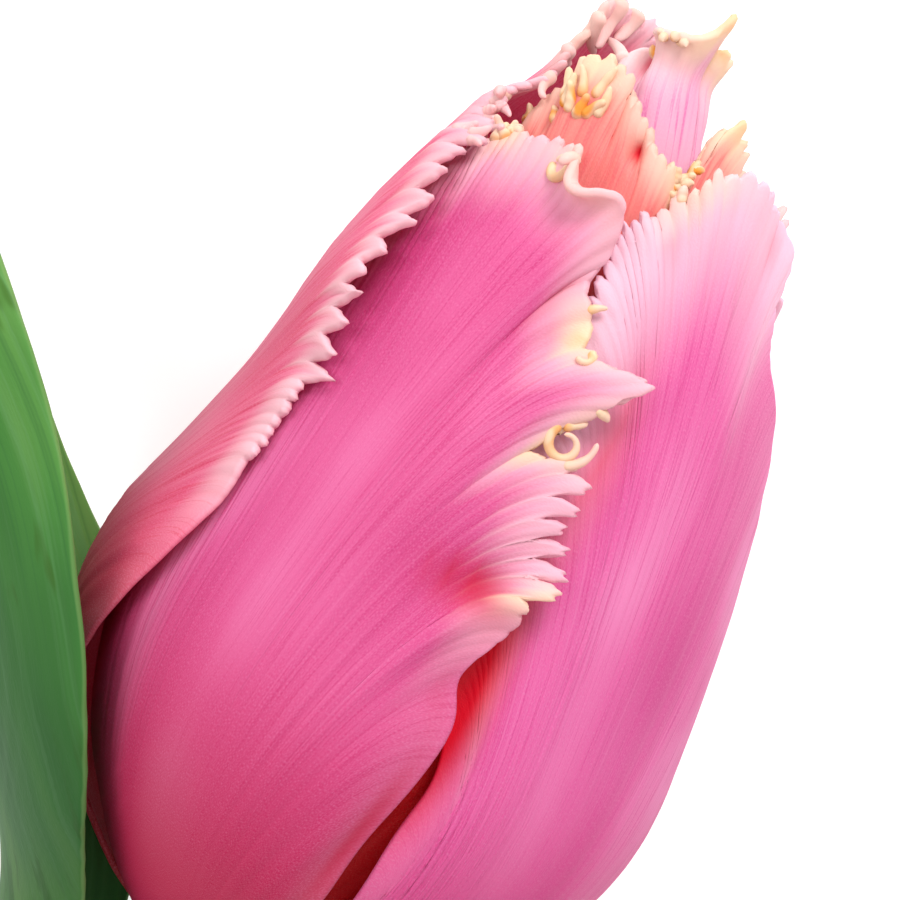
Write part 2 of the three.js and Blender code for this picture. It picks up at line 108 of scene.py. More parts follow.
# The six tepals.
#   centre, claw   the azimuth of its middle, and half the width of its foot
#   column         between columns along its fringe
#   outline        [azimuth, height] from the foot's one side over the tip to the other
#   fan            [share, turn, reach] how far its veins turn square to the margin that they end at,
#                  and over which share of their length
#   fringe         the stretch of the outline that is fringed, as shares of its length
#   teeth          [share, kind of fringe] up to which share of the outline it is of that kind
#   swell, lean    [height, amount] stations: how far it stands out, and leans towards azimuth 90
#   sinks          [azimuth, reach, height, reach, depth] of places that are pressed in, or that
#                  stand out where the depth is negative; pressed-in places also get painted shade
#   folds          [share, reach, lift, inward] of ridges and dimples that run in from the margin;
#                  the dimples also get painted shade
#   pulls          [share, reach, azimuth, height] by which stretches of the outline are moved
#   lobes          [share, reach, length] of stretches of the margin that stand out or are cut back
#   rolls          [share, reach, start, turn] of stretches that roll outward, from so far before
#                  the edge, through so many degrees
#   ruffle         [amplitude, wavelength, wander] of the margin's waves, the last in degrees
#   curls          [share, inset, length, aim, winding, plane, thickness, warmth] of single fingers
#                  that wind up: they start so far in from the edge, aim is their first direction,
#                  from straight out towards the tepal's right, and plane is how far the winding
#                  stands up off the tepal's outer face, or off its inner one where it is negative
#   tufts          [share, reach, count, length, thickness, warmth] of crowds of such fingers
#   warm           [share, reach, amount] of stretches of the margin that are cream to yellow
#   tints          [share, reach, amount] of veins that are paler or deeper than the rest; some are
#                  painted light that lifts stretches lying in shade
PLAIN = dict(
    fan=[[0, 0.9, 0.2], [1, 0.9, 0.2]], swell=[[0, 0], [70, 0]], lean=[[0, 0], [70, 0]], sinks=[],
    folds=[], pulls=[], lobes=[], rolls=[], curls=[], tufts=[], warm=[], tints=[],
)
FRONT_LEFT = PLAIN | dict(
    name="tepal_front_left", ring="outer", look="rose", centre=-28, claw=33, seed=11, column=0.115,
    outline=[
        [-70, 6], [-86, 14], [-90, 24], [-88, 36], [-78, 47], [-60, 55], [-36, 57.2], [-14, 56.8],
        [0, 53.5], [11, 47], [17, 40], [18, 33], [16, 25], [15, 16], [10, 6],
    ],
    fan=[[0, 0.8, 0.3], [0.5, 0.8, 0.3], [0.68, 0.85, 0.36], [1, 0.8, 0.3]], fringe=[0.22, 0.755],
    teeth=[
        [0.42, TATTERS], [0.5, SCALLOPS], [0.6, RIM], [0.668, SCALLOPS], [0.732, FINGERS],
        [0.755, SCALLOPS], [1, RIM],
    ],
    sinks=[[-80, 26, 14, 14, 1.1], [-84, 26, 52, 5.5, -1.6], [6, 12, 33.6, 2, 0.9]],
    folds=[
        [0.628, 0.012, 0.9, 7], [0.6, 0.012, -0.5, 5], [0.745, 0.012, 0.9, 7], [0.54, 0.014, 0.7, 6],
        [0.575, 0.012, -0.7, 8], [0.656, 0.012, -0.4, 3], [0.79, 0.025, -0.4, 3], [0.86, 0.04, -0.5, 3],
        [0.9, 0.05, -0.6, 3],
    ],
    pulls=[
        [0.405, 0.026, -5, 3.5], [0.45, 0.014, -5, 1.2], [0.538, 0.01, 2, 0.6],
        [0.583, 0.02, -7.5, -0.4],
    ],
    lobes=[
        [0.61, 0.009, -1], [0.629, 0.008, 2.7], [0.656, 0.01, -3.6], [0.7, 0.024, -1.5],
        [0.737, 0.008, -0.3], [0.783, 0.02, -1.5], [0.89, 0.04, -0.9],
    ],
    rolls=[[0.522, 0.016, 3.2, 150]], ruffle=[0.22, 5, 9],
    curls=[
        [0.49, 1.6, 4.6, 175, -340, 12, 0.32, 1], [0.508, 0.3, 1.6, 20, 120, 30, 0.4, 0.6],
        [0.592, 0.2, 1.3, -10, 30, 10, 0.3, 0.95], [0.612, 0.3, 1.8, 60, 220, 20, 0.28, 1],
        [0.64, 0.2, 1.2, 30, 40, 0, 0.36, 0.9], [0.647, 0.2, 1.5, 20, -30, 0, 0.34, 1],
        [0.646, 0.9, 5, 175, -340, 25, 0.32, 1], [0.668, 0.6, 2.6, 10, -80, 10, 0.34, 0.7],
    ],
    tufts=[[0.441, 0.008, 7, 1.6, 0.34, 1.3]],
    warm=[
        [0.51, 0.03, 0.5], [0.604, 0.014, 1], [0.655, 0.015, 0.9], [0.448, 0.014, 0.9],
        [0.738, 0.008, 0.8],
    ],
    tints=[
        # The first tint lifts the lower left, which lies in shade by the leaf: painted light.
        [0.12, 0.08, 0.35], [0.345, 0.03, 0.7], [0.43, 0.04, -0.35], [0.52, 0.03, 0.15],
        [0.84, 0.1, -0.4],
    ],
)
FRONT_RIGHT = PLAIN | dict(
    name="tepal_front_right", ring="outer", look="lilac", centre=44, claw=32, seed=12, column=0.125,
    outline=[
        [19, 6], [18, 15], [14, 25], [4, 34], [-3, 42], [0, 50], [8, 57], [24, 61.5], [44, 61.5],
        [62, 58], [78, 50], [92, 38], [99, 26], [98, 14], [84, 6],
    ],
    fan=[
        [0, 0.9, 0.2], [0.12, 0.9, 0.4], [0.33, 0.9, 0.42], [0.45, 0.75, 0.2], [0.6, 0.8, 0.2],
        [1, 0.9, 0.2],
    ],
    fringe=[0.2, 0.56], teeth=[[0.52, SCALLOPS], [1, RIM]],
    sinks=[[16, 7, 27, 9, 1.9], [21, 8, 44, 7, 0.75]],
    folds=[
        [0.47, 0.01, 0.8, 6], [0.445, 0.01, -0.6, 6], [0.522, 0.008, -0.7, 5], [0.497, 0.01, 0.5, 6],
    ],
    pulls=[
        [0.412, 0.02, -7, 0.6], [0.44, 0.012, -4, -0.6], [0.475, 0.022, -1, -1.2],
        [0.5, 0.012, -2.5, -0.7], [0.532, 0.024, 6.5, 0], [0.58, 0.034, -8, -1],
    ],
    lobes=[[0.15, 0.03, -1.2], [0.47, 0.006, 0.4], [0.508, 0.007, -0.6]], rolls=[[0.44, 0.014, 2, -50]],
    ruffle=[0.16, 6, 8], curls=[[0.452, 0.3, 1.2, 0, 60, 20, 0.4, 0.8]], warm=[[0.46, 0.025, 0.6]],
    # The last tint lifts the lower right at the bloom's limb, which lies in shade: painted light.
    tints=[[0.47, 0.05, 0.25], [0.62, 0.03, -0.3], [0.78, 0.08, 0.35]],
)
LEFT = PLAIN | dict(
    name="tepal_left", ring="outer", look="salmon", centre=-112, claw=34, seed=13, column=0.125,
    outline=[
        [-152, 6], [-168, 15], [-176, 28], [-174, 40], [-166, 50], [-154, 58], [-138, 63.5],
        [-116, 65.5], [-97, 64.5], [-84, 60.5], [-72, 56], [-60, 51], [-52, 44], [-47, 34], [-47, 26],
        [-56, 17], [-74, 6],
    ],
    fringe=[0.2, 0.79],
    teeth=[[0.48, TATTERS], [0.575, SCALLOPS], [0.735, SPIKES], [0.775, SCALLOPS], [1, RIM]],
    swell=[
        [24, 0], [30, -0.5], [36, -0.5], [44, 0.8], [50, 1.4], [55, 1.4], [60, 0.8], [63, 1], [67, 1.8],
    ],
    folds=[
        [0.545, 0.012, -0.6, 4], [0.568, 0.01, 0.5, 4], [0.6, 0.012, 0.4, 4], [0.64, 0.01, -0.4, 4],
        [0.685, 0.012, 0.35, 4],
    ],
    pulls=[[0.46, 0.02, -4, 0.9]],
    lobes=[[0.65, 0.08, -0.5], [0.575, 0.02, -1], [0.528, 0.01, -0.8], [0.475, 0.012, -0.7]],
    rolls=[[0.59, 0.03, 1.6, -70]], ruffle=[0.14, 5, 8],
    curls=[
        [0.515, 0.3, 3.2, 165, 70, -40, 0.5, 0.4], [0.495, 0.3, 3.8, 178, -60, -35, 0.55, 0.4],
        [0.478, 0.3, 3, 190, -70, -30, 0.5, 0.4], [0.532, 0.3, 2.2, 150, 120, -30, 0.42, 0.3],
        [0.548, 0.3, 2.4, 140, -110, -25, 0.38, 0.4], [0.566, 0.3, 2.2, 120, 160, -20, 0.36, 0.5],
    ],
    tufts=[[0.575, 0.03, 12, 1.8, 0.34, 0.3]], warm=[[0.52, 0.02, 0.5]],
    tints=[[0.7, 0.1, 0.25], [0.86, 0.06, -0.5]],
)
BACK_RIGHT = PLAIN | dict(
    name="tepal_back_right", ring="outer", look="lilac", centre=137, claw=34, seed=14, column=0.2,
    outline=[
        [100, 6], [84, 14], [76, 25], [78, 36], [92, 47], [112, 54.5], [134, 57.5], [158, 55],
        [178, 47], [194, 36], [198, 25], [190, 14], [172, 6],
    ],
    fringe=[0.22, 0.78], teeth=[[1, SPIKES]], rolls=[[0.5, 0.02, 3, 60]], ruffle=[0.25, 6, 12],
    warm=[[0.5, 0.03, 0.4]],
)
INNER_FRONT = PLAIN | dict(
    name="tepal_inner_front", ring="inner", look="peach", centre=-14, claw=34, seed=15, column=0.15,
    outline=[
        [-46, 6], [-60, 15], [-68, 27], [-74, 40], [-82, 50], [-86, 56], [-76, 60], [-58, 62],
        [-40, 62.6], [-24, 61.4], [-8, 60.5], [6, 59.2], [18, 58.8], [30, 60.6], [45, 62.8], [60, 60.5],
        [58, 52], [48, 40], [42, 27], [34, 15], [18, 6],
    ],
    fringe=[0.25, 0.75], teeth=[[0.39, TATTERS], [0.52, SCALLOPS], [1, TATTERS]],
    sinks=[[-6, 5, 59, 0.8, 1]],
    folds=[
        [0.4, 0.012, 0.6, 6], [0.42, 0.01, -0.6, 5], [0.437, 0.01, 0.7, 6], [0.465, 0.008, -0.5, 5],
        [0.5, 0.01, 0.6, 5], [0.535, 0.008, -0.5, 4],
    ],
    lean=[[44, 0], [54, -0.7], [60, -1.6], [64, -1.8]], ruffle=[0.3, 4.2, 12],
    curls=[
        [0.425, 2, 1.9, -10, 20, 20, 0.32, 1.1], [0.432, 2.9, 2.1, -15, 30, 30, 0.34, 1.2],
        [0.439, 3.7, 1.9, 10, -40, 30, 0.36, 1.4], [0.448, 2.6, 2.3, 10, 20, 25, 0.34, 1],
        [0.444, 4.3, 1.7, 0, 40, 40, 0.36, 1.5], [0.452, 3.6, 2, 20, -30, 30, 0.34, 1.1],
        [0.436, 3.3, 2.2, 0, 25, 15, 0.34, 1.3], [0.442, 2.4, 2, -5, -35, 25, 0.32, 1],
        [0.448, 4, 1.8, 25, 45, 20, 0.34, 1.3], [0.428, 3.4, 1.7, -30, -25, 20, 0.32, 1.3],
    ],
    tufts=[[0.385, 0.012, 7, 1.8, 0.34, 1.3], [0.515, 0.01, 8, 1.2, 0.36, 1.3]],
    warm=[[0.385, 0.012, 0.9], [0.44, 0.014, 0.8], [0.515, 0.01, 1.3], [0.55, 0.012, 1]],
)
INNER_RIGHT = PLAIN | dict(
    name="tepal_inner_right", ring="inner", look="pale", centre=65, claw=34, seed=16, column=0.15,
    outline=[
        [33, 6], [41, 14], [36, 22], [18, 31], [-4, 40], [-26, 50], [-46, 58], [-66, 63], [-48, 66],
        [-14, 66.5], [24, 66.5], [57, 67], [88, 65.5], [108, 63], [118, 57], [128, 48], [134, 38],
        [132, 26], [122, 15], [100, 6],
    ],
    fan=[[0, 0.35, 0.2], [1, 0.35, 0.2]], fringe=[0.25, 0.75],
    teeth=[[0.45, TATTERS], [0.5, RIM], [0.54, SCALLOPS], [0.62, RIM], [1, TATTERS]],
    swell=[
        [8, 0], [18, -1.2], [40, -1.6], [48, -1.8], [55, -2.4], [58, -2.9], [60, -3.1], [62, -2.9],
        [64, -3.1], [66, -2.4], [69, -1.4],
    ],
    lean=[[44, 0], [52, -0.8], [58, -1.9], [62, -2.6], [67, -3]],
    folds=[
        [0.47, 0.008, -1, 4], [0.455, 0.006, 0.7, 5], [0.487, 0.006, 0.5, 4], [0.516, 0.005, -0.5, 3],
        [0.528, 0.006, 0.5, 4],
    ],
    pulls=[[0.508, 0.006, 6, 0.9]],
    lobes=[
        [0.462, 0.013, 1.2], [0.487, 0.01, -0.4], [0.508, 0.004, 0.4], [0.518, 0.004, -0.6],
        [0.537, 0.006, 1.7], [0.56, 0.02, -0.3],
    ],
    rolls=[[0.487, 0.01, 1.2, 70]], ruffle=[0.15, 4, 8],
    curls=[[0.452, 0.4, 5.2, -50, -20, 25, 0.38, 0.2], [0.48, 1.5, 0.9, 0, 0, 80, 0.45, 1.5]],
    tufts=[[0.492, 0.008, 5, 0.9, 0.34, 1]], warm=[[0.515, 0.022, 1.1]],
)
TEPALS = [FRONT_LEFT, FRONT_RIGHT, LEFT, BACK_RIGHT, INNER_FRONT, INNER_RIGHT]


# ---------------------------------------------------------------- small helpers

def smooth_value(stations, x):
    """The values at x of a smooth curve through stations [x, value]."""
    xs, values = np.array(stations, float).T
    slopes = np.empty(len(xs))
    slopes[1:-1] = (values[2:] - values[:-2]) / (xs[2:] - xs[:-2])
    slopes[0] = (values[1] - values[0]) / (xs[1] - xs[0])
    slopes[-1] = (values[-1] - values[-2]) / (xs[-1] - xs[-2])
    x = np.clip(x, xs[0], xs[-1])
    i = np.clip(np.searchsorted(xs, x) - 1, 0, len(xs) - 2)
    width = xs[i + 1] - xs[i]
    t = (x - xs[i]) / width
    start = (2 * t**3 - 3 * t**2 + 1) * values[i] + (t**3 - 2 * t**2 + t) * width * slopes[i]
    end = (3 * t**2 - 2 * t**3) * values[i + 1] + (t**3 - t**2) * width * slopes[i + 1]
    return start + end


def smooth_pair(stations, x):
    """The two values at x of smooth curves through stations [x, value, value]."""
    return [smooth_value([[row[0], row[k]] for row in stations], x) for k in (1, 2)]


def between(x, xs, rows):
    """The rows of a table at x, between the rows that stand at xs."""
    return np.stack([np.interp(x, xs, column) for column in rows.T], axis=1)


def distances(points):
    """How far each point of a curve, or of many side by side, is from its start."""
    steps = np.linalg.norm(np.diff(points, axis=0), axis=-1)
    return np.concatenate([np.zeros_like(steps[:1]), np.cumsum(steps, axis=0)])


def bump(x, middle, reach):
    """1 at the middle, fading out over the reach."""
    return np.exp(-(((x - middle) / reach) ** 2))


def smooth_step(x, start, end):
    t = np.clip((x - start) / (end - start), 0, 1)
    return t * t * (3 - 2 * t)


def smooth_noise(random, x, wavelength):
    """Values from -1 to 1 that wander smoothly along x."""
    knots = random.uniform(-1, 1, int((x.max() - x.min()) / wavelength) + 3)
    place = (x - x.min()) / wavelength
    k = place.astype(int)
    f = place - k
    f = f * f * (3 - 2 * f)
    return knots[k] * (1 - f) + knots[k + 1] * f


def unit(vectors):
    return vectors / np.maximum(np.linalg.norm(vectors, axis=-1, keepdims=True), 1e-12)


def grid_normals(middle):
    """The directions square to a surface that is given as a grid of points."""
    return unit(np.cross(np.gradient(middle, axis=1), np.gradient(middle, axis=0)))


def rounded(x):
    """A quarter of a circle's rise, from 0 at 0 to 1 at 1 and beyond."""
    return np.sqrt(1 - (1 - np.clip(x, 0, 1)) ** 2)


def sections(centres, first, second, a, b):
    """Rows of points beside centres: a along the first directions and b along the second."""
    return centres[:, None] + first[:, None] * a[..., None] + second[:, None] * b[..., None]


def angles_round(sides):
    return np.linspace(0, 2 * np.pi, sides, endpoint=False)


def bloom_point(azimuth, height, radius):
    """Points of the bloom, whose own axis is Z and whose azimuth 0 is X."""
    angle = np.radians(azimuth)
    return np.stack([radius * np.cos(angle), radius * np.sin(angle), height], axis=-1)


def lay_down(points):
    """Points of the upright bloom as they lie on the surface, in the part's frame, in millimetres."""
    up, side, along = np.moveaxis(points, -1, 0)
    return np.stack([along - REST_STATION, -side, up + REST_HEIGHT], axis=-1)


def add_object(name, data):
    thing = bpy.data.objects.new(name, data)
    bpy.context.scene.collection.objects.link(thing)
    return thing


def add_piece(name, form, material, node):
    """A piece of the flower, in a node's place, from points in millimetres, faces and values.

    It is smooth-shaded, and what would sink into the surface that the flower lies on is lifted.
    """
    points, faces, values = form
    points[:, 2] = np.maximum(points[:, 2], 0)
    mesh = bpy.data.meshes.new(name)
    mesh.from_pydata((points * MM).tolist(), [], [list(map(int, f)) for f in faces])
    for key, array in values.items():
        kind = "FLOAT_VECTOR" if array.ndim == 2 else "FLOAT"
        layer = mesh.attributes.new(key, kind, "POINT")
        layer.data.foreach_set("vector" if array.ndim == 2 else "value", np.ravel(array))
    mesh.polygons.foreach_set("use_smooth", [True] * len(mesh.polygons))
    mesh.validate()
    mesh.update()
    mesh.materials.append(material)
    piece = add_object(name, mesh)
    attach(piece, "root")
    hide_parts(node)


def closed_blade(middle, thickness, values):
    """Points, faces and values of a blade made from a grid: two faces that meet at its border."""
    rows, columns = middle.shape[:2]
    offset = grid_normals(middle) * (thickness / 2)[..., None]
    outer = np.arange(rows * columns).reshape(rows, columns)
    inside = np.zeros((rows, columns), bool)
    inside[1:-1, 1:-1] = True
    inner = outer.copy()
    inner[inside] = rows * columns + np.arange(inside.sum())
    points = np.concatenate([(middle + offset).reshape(-1, 3), (middle - offset)[inside]])
    border = ~inside.ravel()
    points[: rows * columns][border] = middle.reshape(-1, 3)[border]
    faces = []
    for numbers, way in ((outer, 1), (inner, -1)):
        quads = [numbers[:-1, :-1], numbers[:-1, 1:], numbers[1:, 1:], numbers[1:, :-1]]
        faces.append(np.stack([corner.ravel() for corner in quads[::way]], axis=1))
    carried = {}
    for key, array in values.items():
        flat = array.reshape(rows * columns, -1)
        both = np.concatenate([flat, flat[inside.ravel()]])
        carried[key] = both[:, 0] if array.ndim == 2 else both
    return points, np.concatenate(faces).tolist(), carried


# ---------------------------------------------------------------- tepals

def catmull_rom(stations, steps=24):
    """Points of a smooth curve through the stations, which are evenly spaced in its parameter."""
    stations = np.array(stations, float)
    last = len(stations) - 1
    place = np.linspace(0, last, last * steps + 1)
    i = np.minimum(place.astype(int), last - 1)
    t = (place - i)[:, None]
    p0, p1 = stations[np.maximum(i - 1, 0)], stations[i]
    p2, p3 = stations[i + 1], stations[np.minimum(i + 2, last)]
    v1, v2 = (p2 - p0) / 2, (p3 - p1) / 2
    return ((2 * p1 - 2 * p2 + v1 + v2) * t**3 + (-3 * p1 + 3 * p2 - 2 * v1 - v2) * t**2
            + v1 * t + p1)


def tepal_radius(tepal, places):
    """The radius of a tepal's middle surface at places [azimuth, height]."""
    azimuth, height = np.moveaxis(places, -1, 0)
    radius = smooth_value(BLOOM_PROFILE, height) + smooth_value(tepal["swell"], height)
    if tepal["ring"] == "inner":
        return radius - smooth_value(INNER_RING_DEPTH, height)
    grown = np.clip(0.5 + height / OVERLAP_GROWTH, 0, 1)
    return radius + grown * OVERLAP_RISE * (azimuth - tepal["centre"])


def pressed_in(tepal, places):
    """How deep places of a tepal are pressed in; it is negative where they stand out."""
    azimuth, height = np.moveaxis(places, -1, 0)
    return sum((depth * bump(azimuth, middle, reach) * bump(height, sink_height, height_reach)
                for middle, reach, sink_height, height_reach, depth in tepal["sinks"]),
               np.zeros(azimuth.shape))


def tepal_point(tepal, places):
    """Points of a tepal's middle surface at places [azimuth, height]."""
    azimuth, height = np.moveaxis(places, -1, 0)
    radius = tepal_radius(tepal, places) - pressed_in(tepal, places)
    point = bloom_point(azimuth, height, radius)
    point[..., 1] += smooth_value(tepal["lean"], height)
    return point


class Margin:
    """A tepal's margin: columns at places along it, where its veins end."""

    def __init__(self, tepal):
        outline = catmull_rom(tepal["outline"])
        lengths = distances(tepal_point(tepal, outline))
        self.length = lengths[-1]
        self.share = self.columns(tepal)
        self.place = self.share * self.length
        self.end = between(self.place, lengths, outline)
        self.pull = sum((bump(self.share, share, reach)[:, None] * [azimuth, height]
                         for share, reach, azimuth, height in tepal["pulls"]),
                        np.zeros(self.end.shape))
        start, end = tepal["fringe"]
        out, into = FRINGE_FADE
        self.fringed = smooth_step(self.share, start - out, start + into)
        self.fringed *= 1 - smooth_step(self.share, end - into, end + out)
        # Directions square to the margin, in the unrolled tepal.
        self.degree = np.radians(tepal_radius(tepal, self.end))
        ahead = between(self.place + MARGIN_SPAN, lengths, outline)
        behind = between(self.place - MARGIN_SPAN, lengths, outline)
        turned, climb = (ahead - behind).T
        self.square = unit(np.stack([-climb, turned * self.degree], axis=1))

    def columns(self, tepal):
        """Shares of the margin's length where columns stand, closer together along the fringe."""
        start, end = tepal["fringe"]
        start, end = start - COLUMNS_BEYOND, end + COLUMNS_BEYOND
        plain = int(self.length * start / PLAIN_COLUMN)
        fringed = int(self.length * (end - start) / tepal["column"])
        return np.concatenate([
            np.linspace(0, start, plain, endpoint=False),
            np.linspace(start, end, fringed, endpoint=False),
            np.linspace(end, 1, int(self.length * (1 - end) / PLAIN_COLUMN)),
        ])

    def bumps(self, stretches):
        """The sum of bumps given as [share, reach, size]."""
        return sum((size * bump(self.share, middle, reach) for middle, reach, size in stretches),
                   np.zeros(len(self.share)))


def vein_handles(tepal, margin):
    """The four control points [azimuth, height] of the vein that ends at each column."""
    share, end = margin.share, margin.end
    foot = np.stack([tepal["centre"] + (2 * share - 1) * tepal["claw"], 0 * share], axis=1)
    rise = foot + (end - foot) * VEIN_RISE
    scale = np.stack([margin.degree, np.ones(len(share))], axis=1)
    way = (end - rise) * scale
    turn, ending = smooth_pair(tepal["fan"], share[:, None])
    aim = unit(unit(way) * (1 - turn) + margin.square * turn)
    reach = ending * np.linalg.norm(way, axis=1, keepdims=True)
    return foot, rise, end - aim * reach / scale, end


def vein_places(handles, along):
    """[azimuth, height] at shares of the way up the veins."""
    along = along[..., None]
    rest = 1 - along
    weights = (rest**3, 3 * rest**2 * along, 3 * rest * along**2, along**3)
    return sum(weight * handle for weight, handle in zip(weights, handles))


class Teeth:
    """The fringe's teeth, for each column of the margin."""

    def __init__(self, tepal, margin, random):
        start, end = (share * margin.length for share in tepal["fringe"])
        run = TEETH_FADE * margin.length
        self.length, self.lean, self.turn, self.crest = np.zeros((4, len(margin.share)))
        at = start - run
        while at < end + run:
            kind = next(kind for until, kind in tepal["teeth"] if at < until * margin.length)
            width = random.uniform(*kind["pitch"])
            full = random.uniform(*kind["length"])
            x = (margin.place - at) / width * 2 - 1
            inside = np.abs(x) < 1
            shape = 1 - np.abs(x) ** random.uniform(*kind["bluntness"])
            shape = shape * (1 + TOOTH_WAVE * np.sin(9 * x + 6 * random.uniform()))
            slit = random.uniform(*kind["slit"]) * bump((1 - np.abs(x)) * width / 2, 0, SLIT_WIDTH)
            fade = smooth_step(at, start - run, start + run)
            fade = fade * (1 - smooth_step(at, end - run, end + run))
            lean = random.uniform(-TOOTH_SLANT, TOOTH_SLANT)
            turn = math.radians(random.uniform(*kind["turn"]))
            self.length = np.where(inside, (full * shape - slit) * fade, self.length)
            self.lean = np.where(inside, lean, self.lean)
            self.turn = np.where(inside, turn, self.turn)
            self.crest = np.where(inside, np.cos(np.pi * x) * fade, self.crest)
            at += width


class Blade:
    """A tepal's blade: a grid whose columns are its veins and whose rows cross them."""

    def __init__(self, tepal, margin, teeth, random):
        self.tepal = tepal
        self.margin = margin
        self.teeth = teeth
        self.random = random
        self.spread_rows()
        self.carry_on_past_edge()
        self.lift_band()
        self.add_relief()

    def noise(self, wavelength):
        return smooth_noise(self.random, self.margin.place, wavelength)

    def spread_rows(self):
        """Rows stand evenly along the blade, and closer in the band along the margin."""
        margin = self.margin
        columns = range(len(margin.share))
        handles = vein_handles(self.tepal, margin)
        shares = np.linspace(0, 1, VEIN_SAMPLES)
        samples = np.repeat(shares[:, None], len(columns), axis=1)
        self.veins = tepal_point(self.tepal, vein_places(handles, samples))
        lengths = distances(self.veins)
        self.full = lengths[-1]
        self.band = np.minimum(BAND_WIDTH, BAND_LIMIT * self.full)
        self.lobe = margin.bumps(self.tepal["lobes"])
        reach = self.band + self.lobe + self.teeth.length
        start = self.full - self.band
        blade_rows = np.linspace(0, 1, BLADE_ROWS, endpoint=False)[:, None] * start
        band_rows = start + np.linspace(0, 1, BAND_ROWS)[:, None] ** ROW_CROWDING * reach
        self.travelled = np.vstack([blade_rows, band_rows])
        self.to_edge = (start + reach) - self.travelled
        along = np.stack([np.interp(self.travelled[:, k], lengths[:, k], shares) for k in columns],
                         axis=1)
        pull = margin.pull * bump(self.to_edge, 0, PULL_REACH)[..., None]
        places = vein_places(handles, along) + pull
        self.middle = tepal_point(self.tepal, places)
        # How far a place is pressed in also sets how much painted shade it gets.
        self.hollow = pressed_in(self.tepal, places)

    def carry_on_past_edge(self):
        """Past the outline's edge, lobes and teeth carry on straight."""
        edge = tepal_point(self.tepal, self.margin.end + self.margin.pull)
        self.outward = unit(self.veins[-1] - self.veins[-2])
        past = np.maximum(self.travelled - self.full, 0)
        self.middle = self.middle + self.outward * past[..., None]
        self.sideways = unit(np.gradient(edge, self.margin.place, axis=0))
        self.normal = unit(np.cross(self.sideways, self.outward))

    def band_heading(self, from_start, tooth_share):
        """How steeply the band leaves the surface, in radians: it rolls, wanders, and its teeth bend."""
        margin, length = self.margin, self.teeth.length
        heading = np.zeros_like(from_start)
        for share, reach, start, turn in self.tepal["rolls"]:
            begun = (from_start - (self.band + self.lobe - start)) / (start + length)
            heading += math.radians(turn) * bump(margin.share, share, reach) * np.clip(begun, 0, 1)
        wide, narrow = WANDER_SPACINGS
        wander = self.noise(wide) + 0.5 * self.noise(narrow)
        wander = np.radians(self.tepal["ruffle"][2] * wander)
        heading += wander * margin.fringed * smooth_step(from_start / self.band, 0.3, 1)
        return heading + self.teeth.turn * tooth_share

    def lift_band(self):
        """Rolls, ruffles, folds and the teeth's own bends lift the band off the surface."""
        margin, length = self.margin, self.teeth.length
        from_start = np.clip(self.travelled - (self.full - self.band), 0, None)
        in_tooth = from_start - self.band - self.lobe
        tooth_share = np.clip(in_tooth / np.maximum(length, 0.05), 0, 1)
        heading = self.band_heading(from_start, tooth_share)
        step = np.diff(from_start, axis=0, prepend=0)
        lift = np.cumsum(np.sin(heading) * step, axis=0)
        draw = np.cumsum((np.cos(heading) - 1) * step, axis=0)
        amplitude, wavelength, _ = self.tepal["ruffle"]
        for_phase, for_height = RUFFLE_SPACINGS
        phase = 2 * np.pi * margin.place / wavelength + 2.5 * self.noise(for_phase)
        wave = amplitude * (0.6 + 0.4 * self.noise(for_height)) * np.sin(phase)
        lift += wave * margin.fringed * smooth_step(from_start / self.band, 0, 1)
        for share, reach, height, inward in self.tepal["folds"]:
            fold = height * bump(margin.share, share, reach) * bump(self.to_edge, 0, inward)
            lift += fold
            # The dimple behind an inward fold gets painted shade too.
            behind_rim = bump(self.to_edge, inward / 2, inward / 2)
            self.hollow = self.hollow + np.maximum(-fold, 0) * behind_rim
        slant = self.teeth.lean * np.maximum(length, 0) * tooth_share**1.5
        self.middle = (self.middle + self.normal * lift[..., None] + self.outward * draw[..., None]
                       + self.sideways * slant[..., None])

    def add_relief(self):
        """Pleats run in from the teeth, and faint ribs follow the veins until these crowd together."""
        margin = self.margin
        across = np.linalg.norm(np.gradient(self.middle, axis=1), axis=2)
        self.spread = np.clip(across / np.gradient(margin.place), 0, SPREAD_LIMIT)
        grown = smooth_step(self.spread, 0.15, 0.7) * (1 - np.clip(self.hollow, 0, 1))
        ribs = self.noise(RIB_SPACING)
        ripples = self.noise(RIPPLE_SPACING)
        pleats = self.teeth.crest * bump(self.to_edge, 0, PLEAT_REACH)
        pleats = pleats * smooth_step(self.spread, 0.2, 0.6)
        along_veins = (RIB_DEPTH * ribs + RIPPLE_DEPTH * ripples * margin.fringed) * grown
        relief = PLEAT_DEPTH * pleats + along_veins
        self.middle = self.middle + grid_normals(self.middle) * relief[..., None]
        # The relief's height, which the material paints as highlight on crests and shade in troughs.
        self.rib = pleats + 0.3 * ribs * grown

    def thickness(self):
        """It rounds off towards its edge, also at the sides of each tooth."""
        length = self.teeth.length
        beside = 1 - smooth_step(self.to_edge - length, 0.0, 0.5)
        near = self.to_edge / np.sqrt(1 + (np.gradient(length, self.margin.place) * beside) ** 2)
        fleshy = smooth_step(self.to_edge, *FLESHY_SPAN) * self.margin.fringed
        thickness = BLADE_THICKNESS + (FRINGE_THICKNESS - BLADE_THICKNESS) * fleshy
        return thickness * rounded(near / RIM_ROUNDING)

    def values(self):
        """What the material reads at each point."""
        tepal, margin = self.tepal, self.margin
        ones = np.ones_like(self.travelled)
        return {
            "edge": self.to_edge,
            "vein": np.stack([ones * margin.place, self.travelled, ones * tepal["seed"]], axis=-1),
            "rib": self.rib,
            "spread": self.spread,
            "fringed": ones * margin.fringed,
            "warmth": ones * margin.bumps(tepal["warm"]),
            "tint": ones * margin.bumps(tepal["tints"]),
            "height": self.middle[..., 2] / BLOOM_PROFILE[-1][0],
            "hollow": self.hollow,
        }


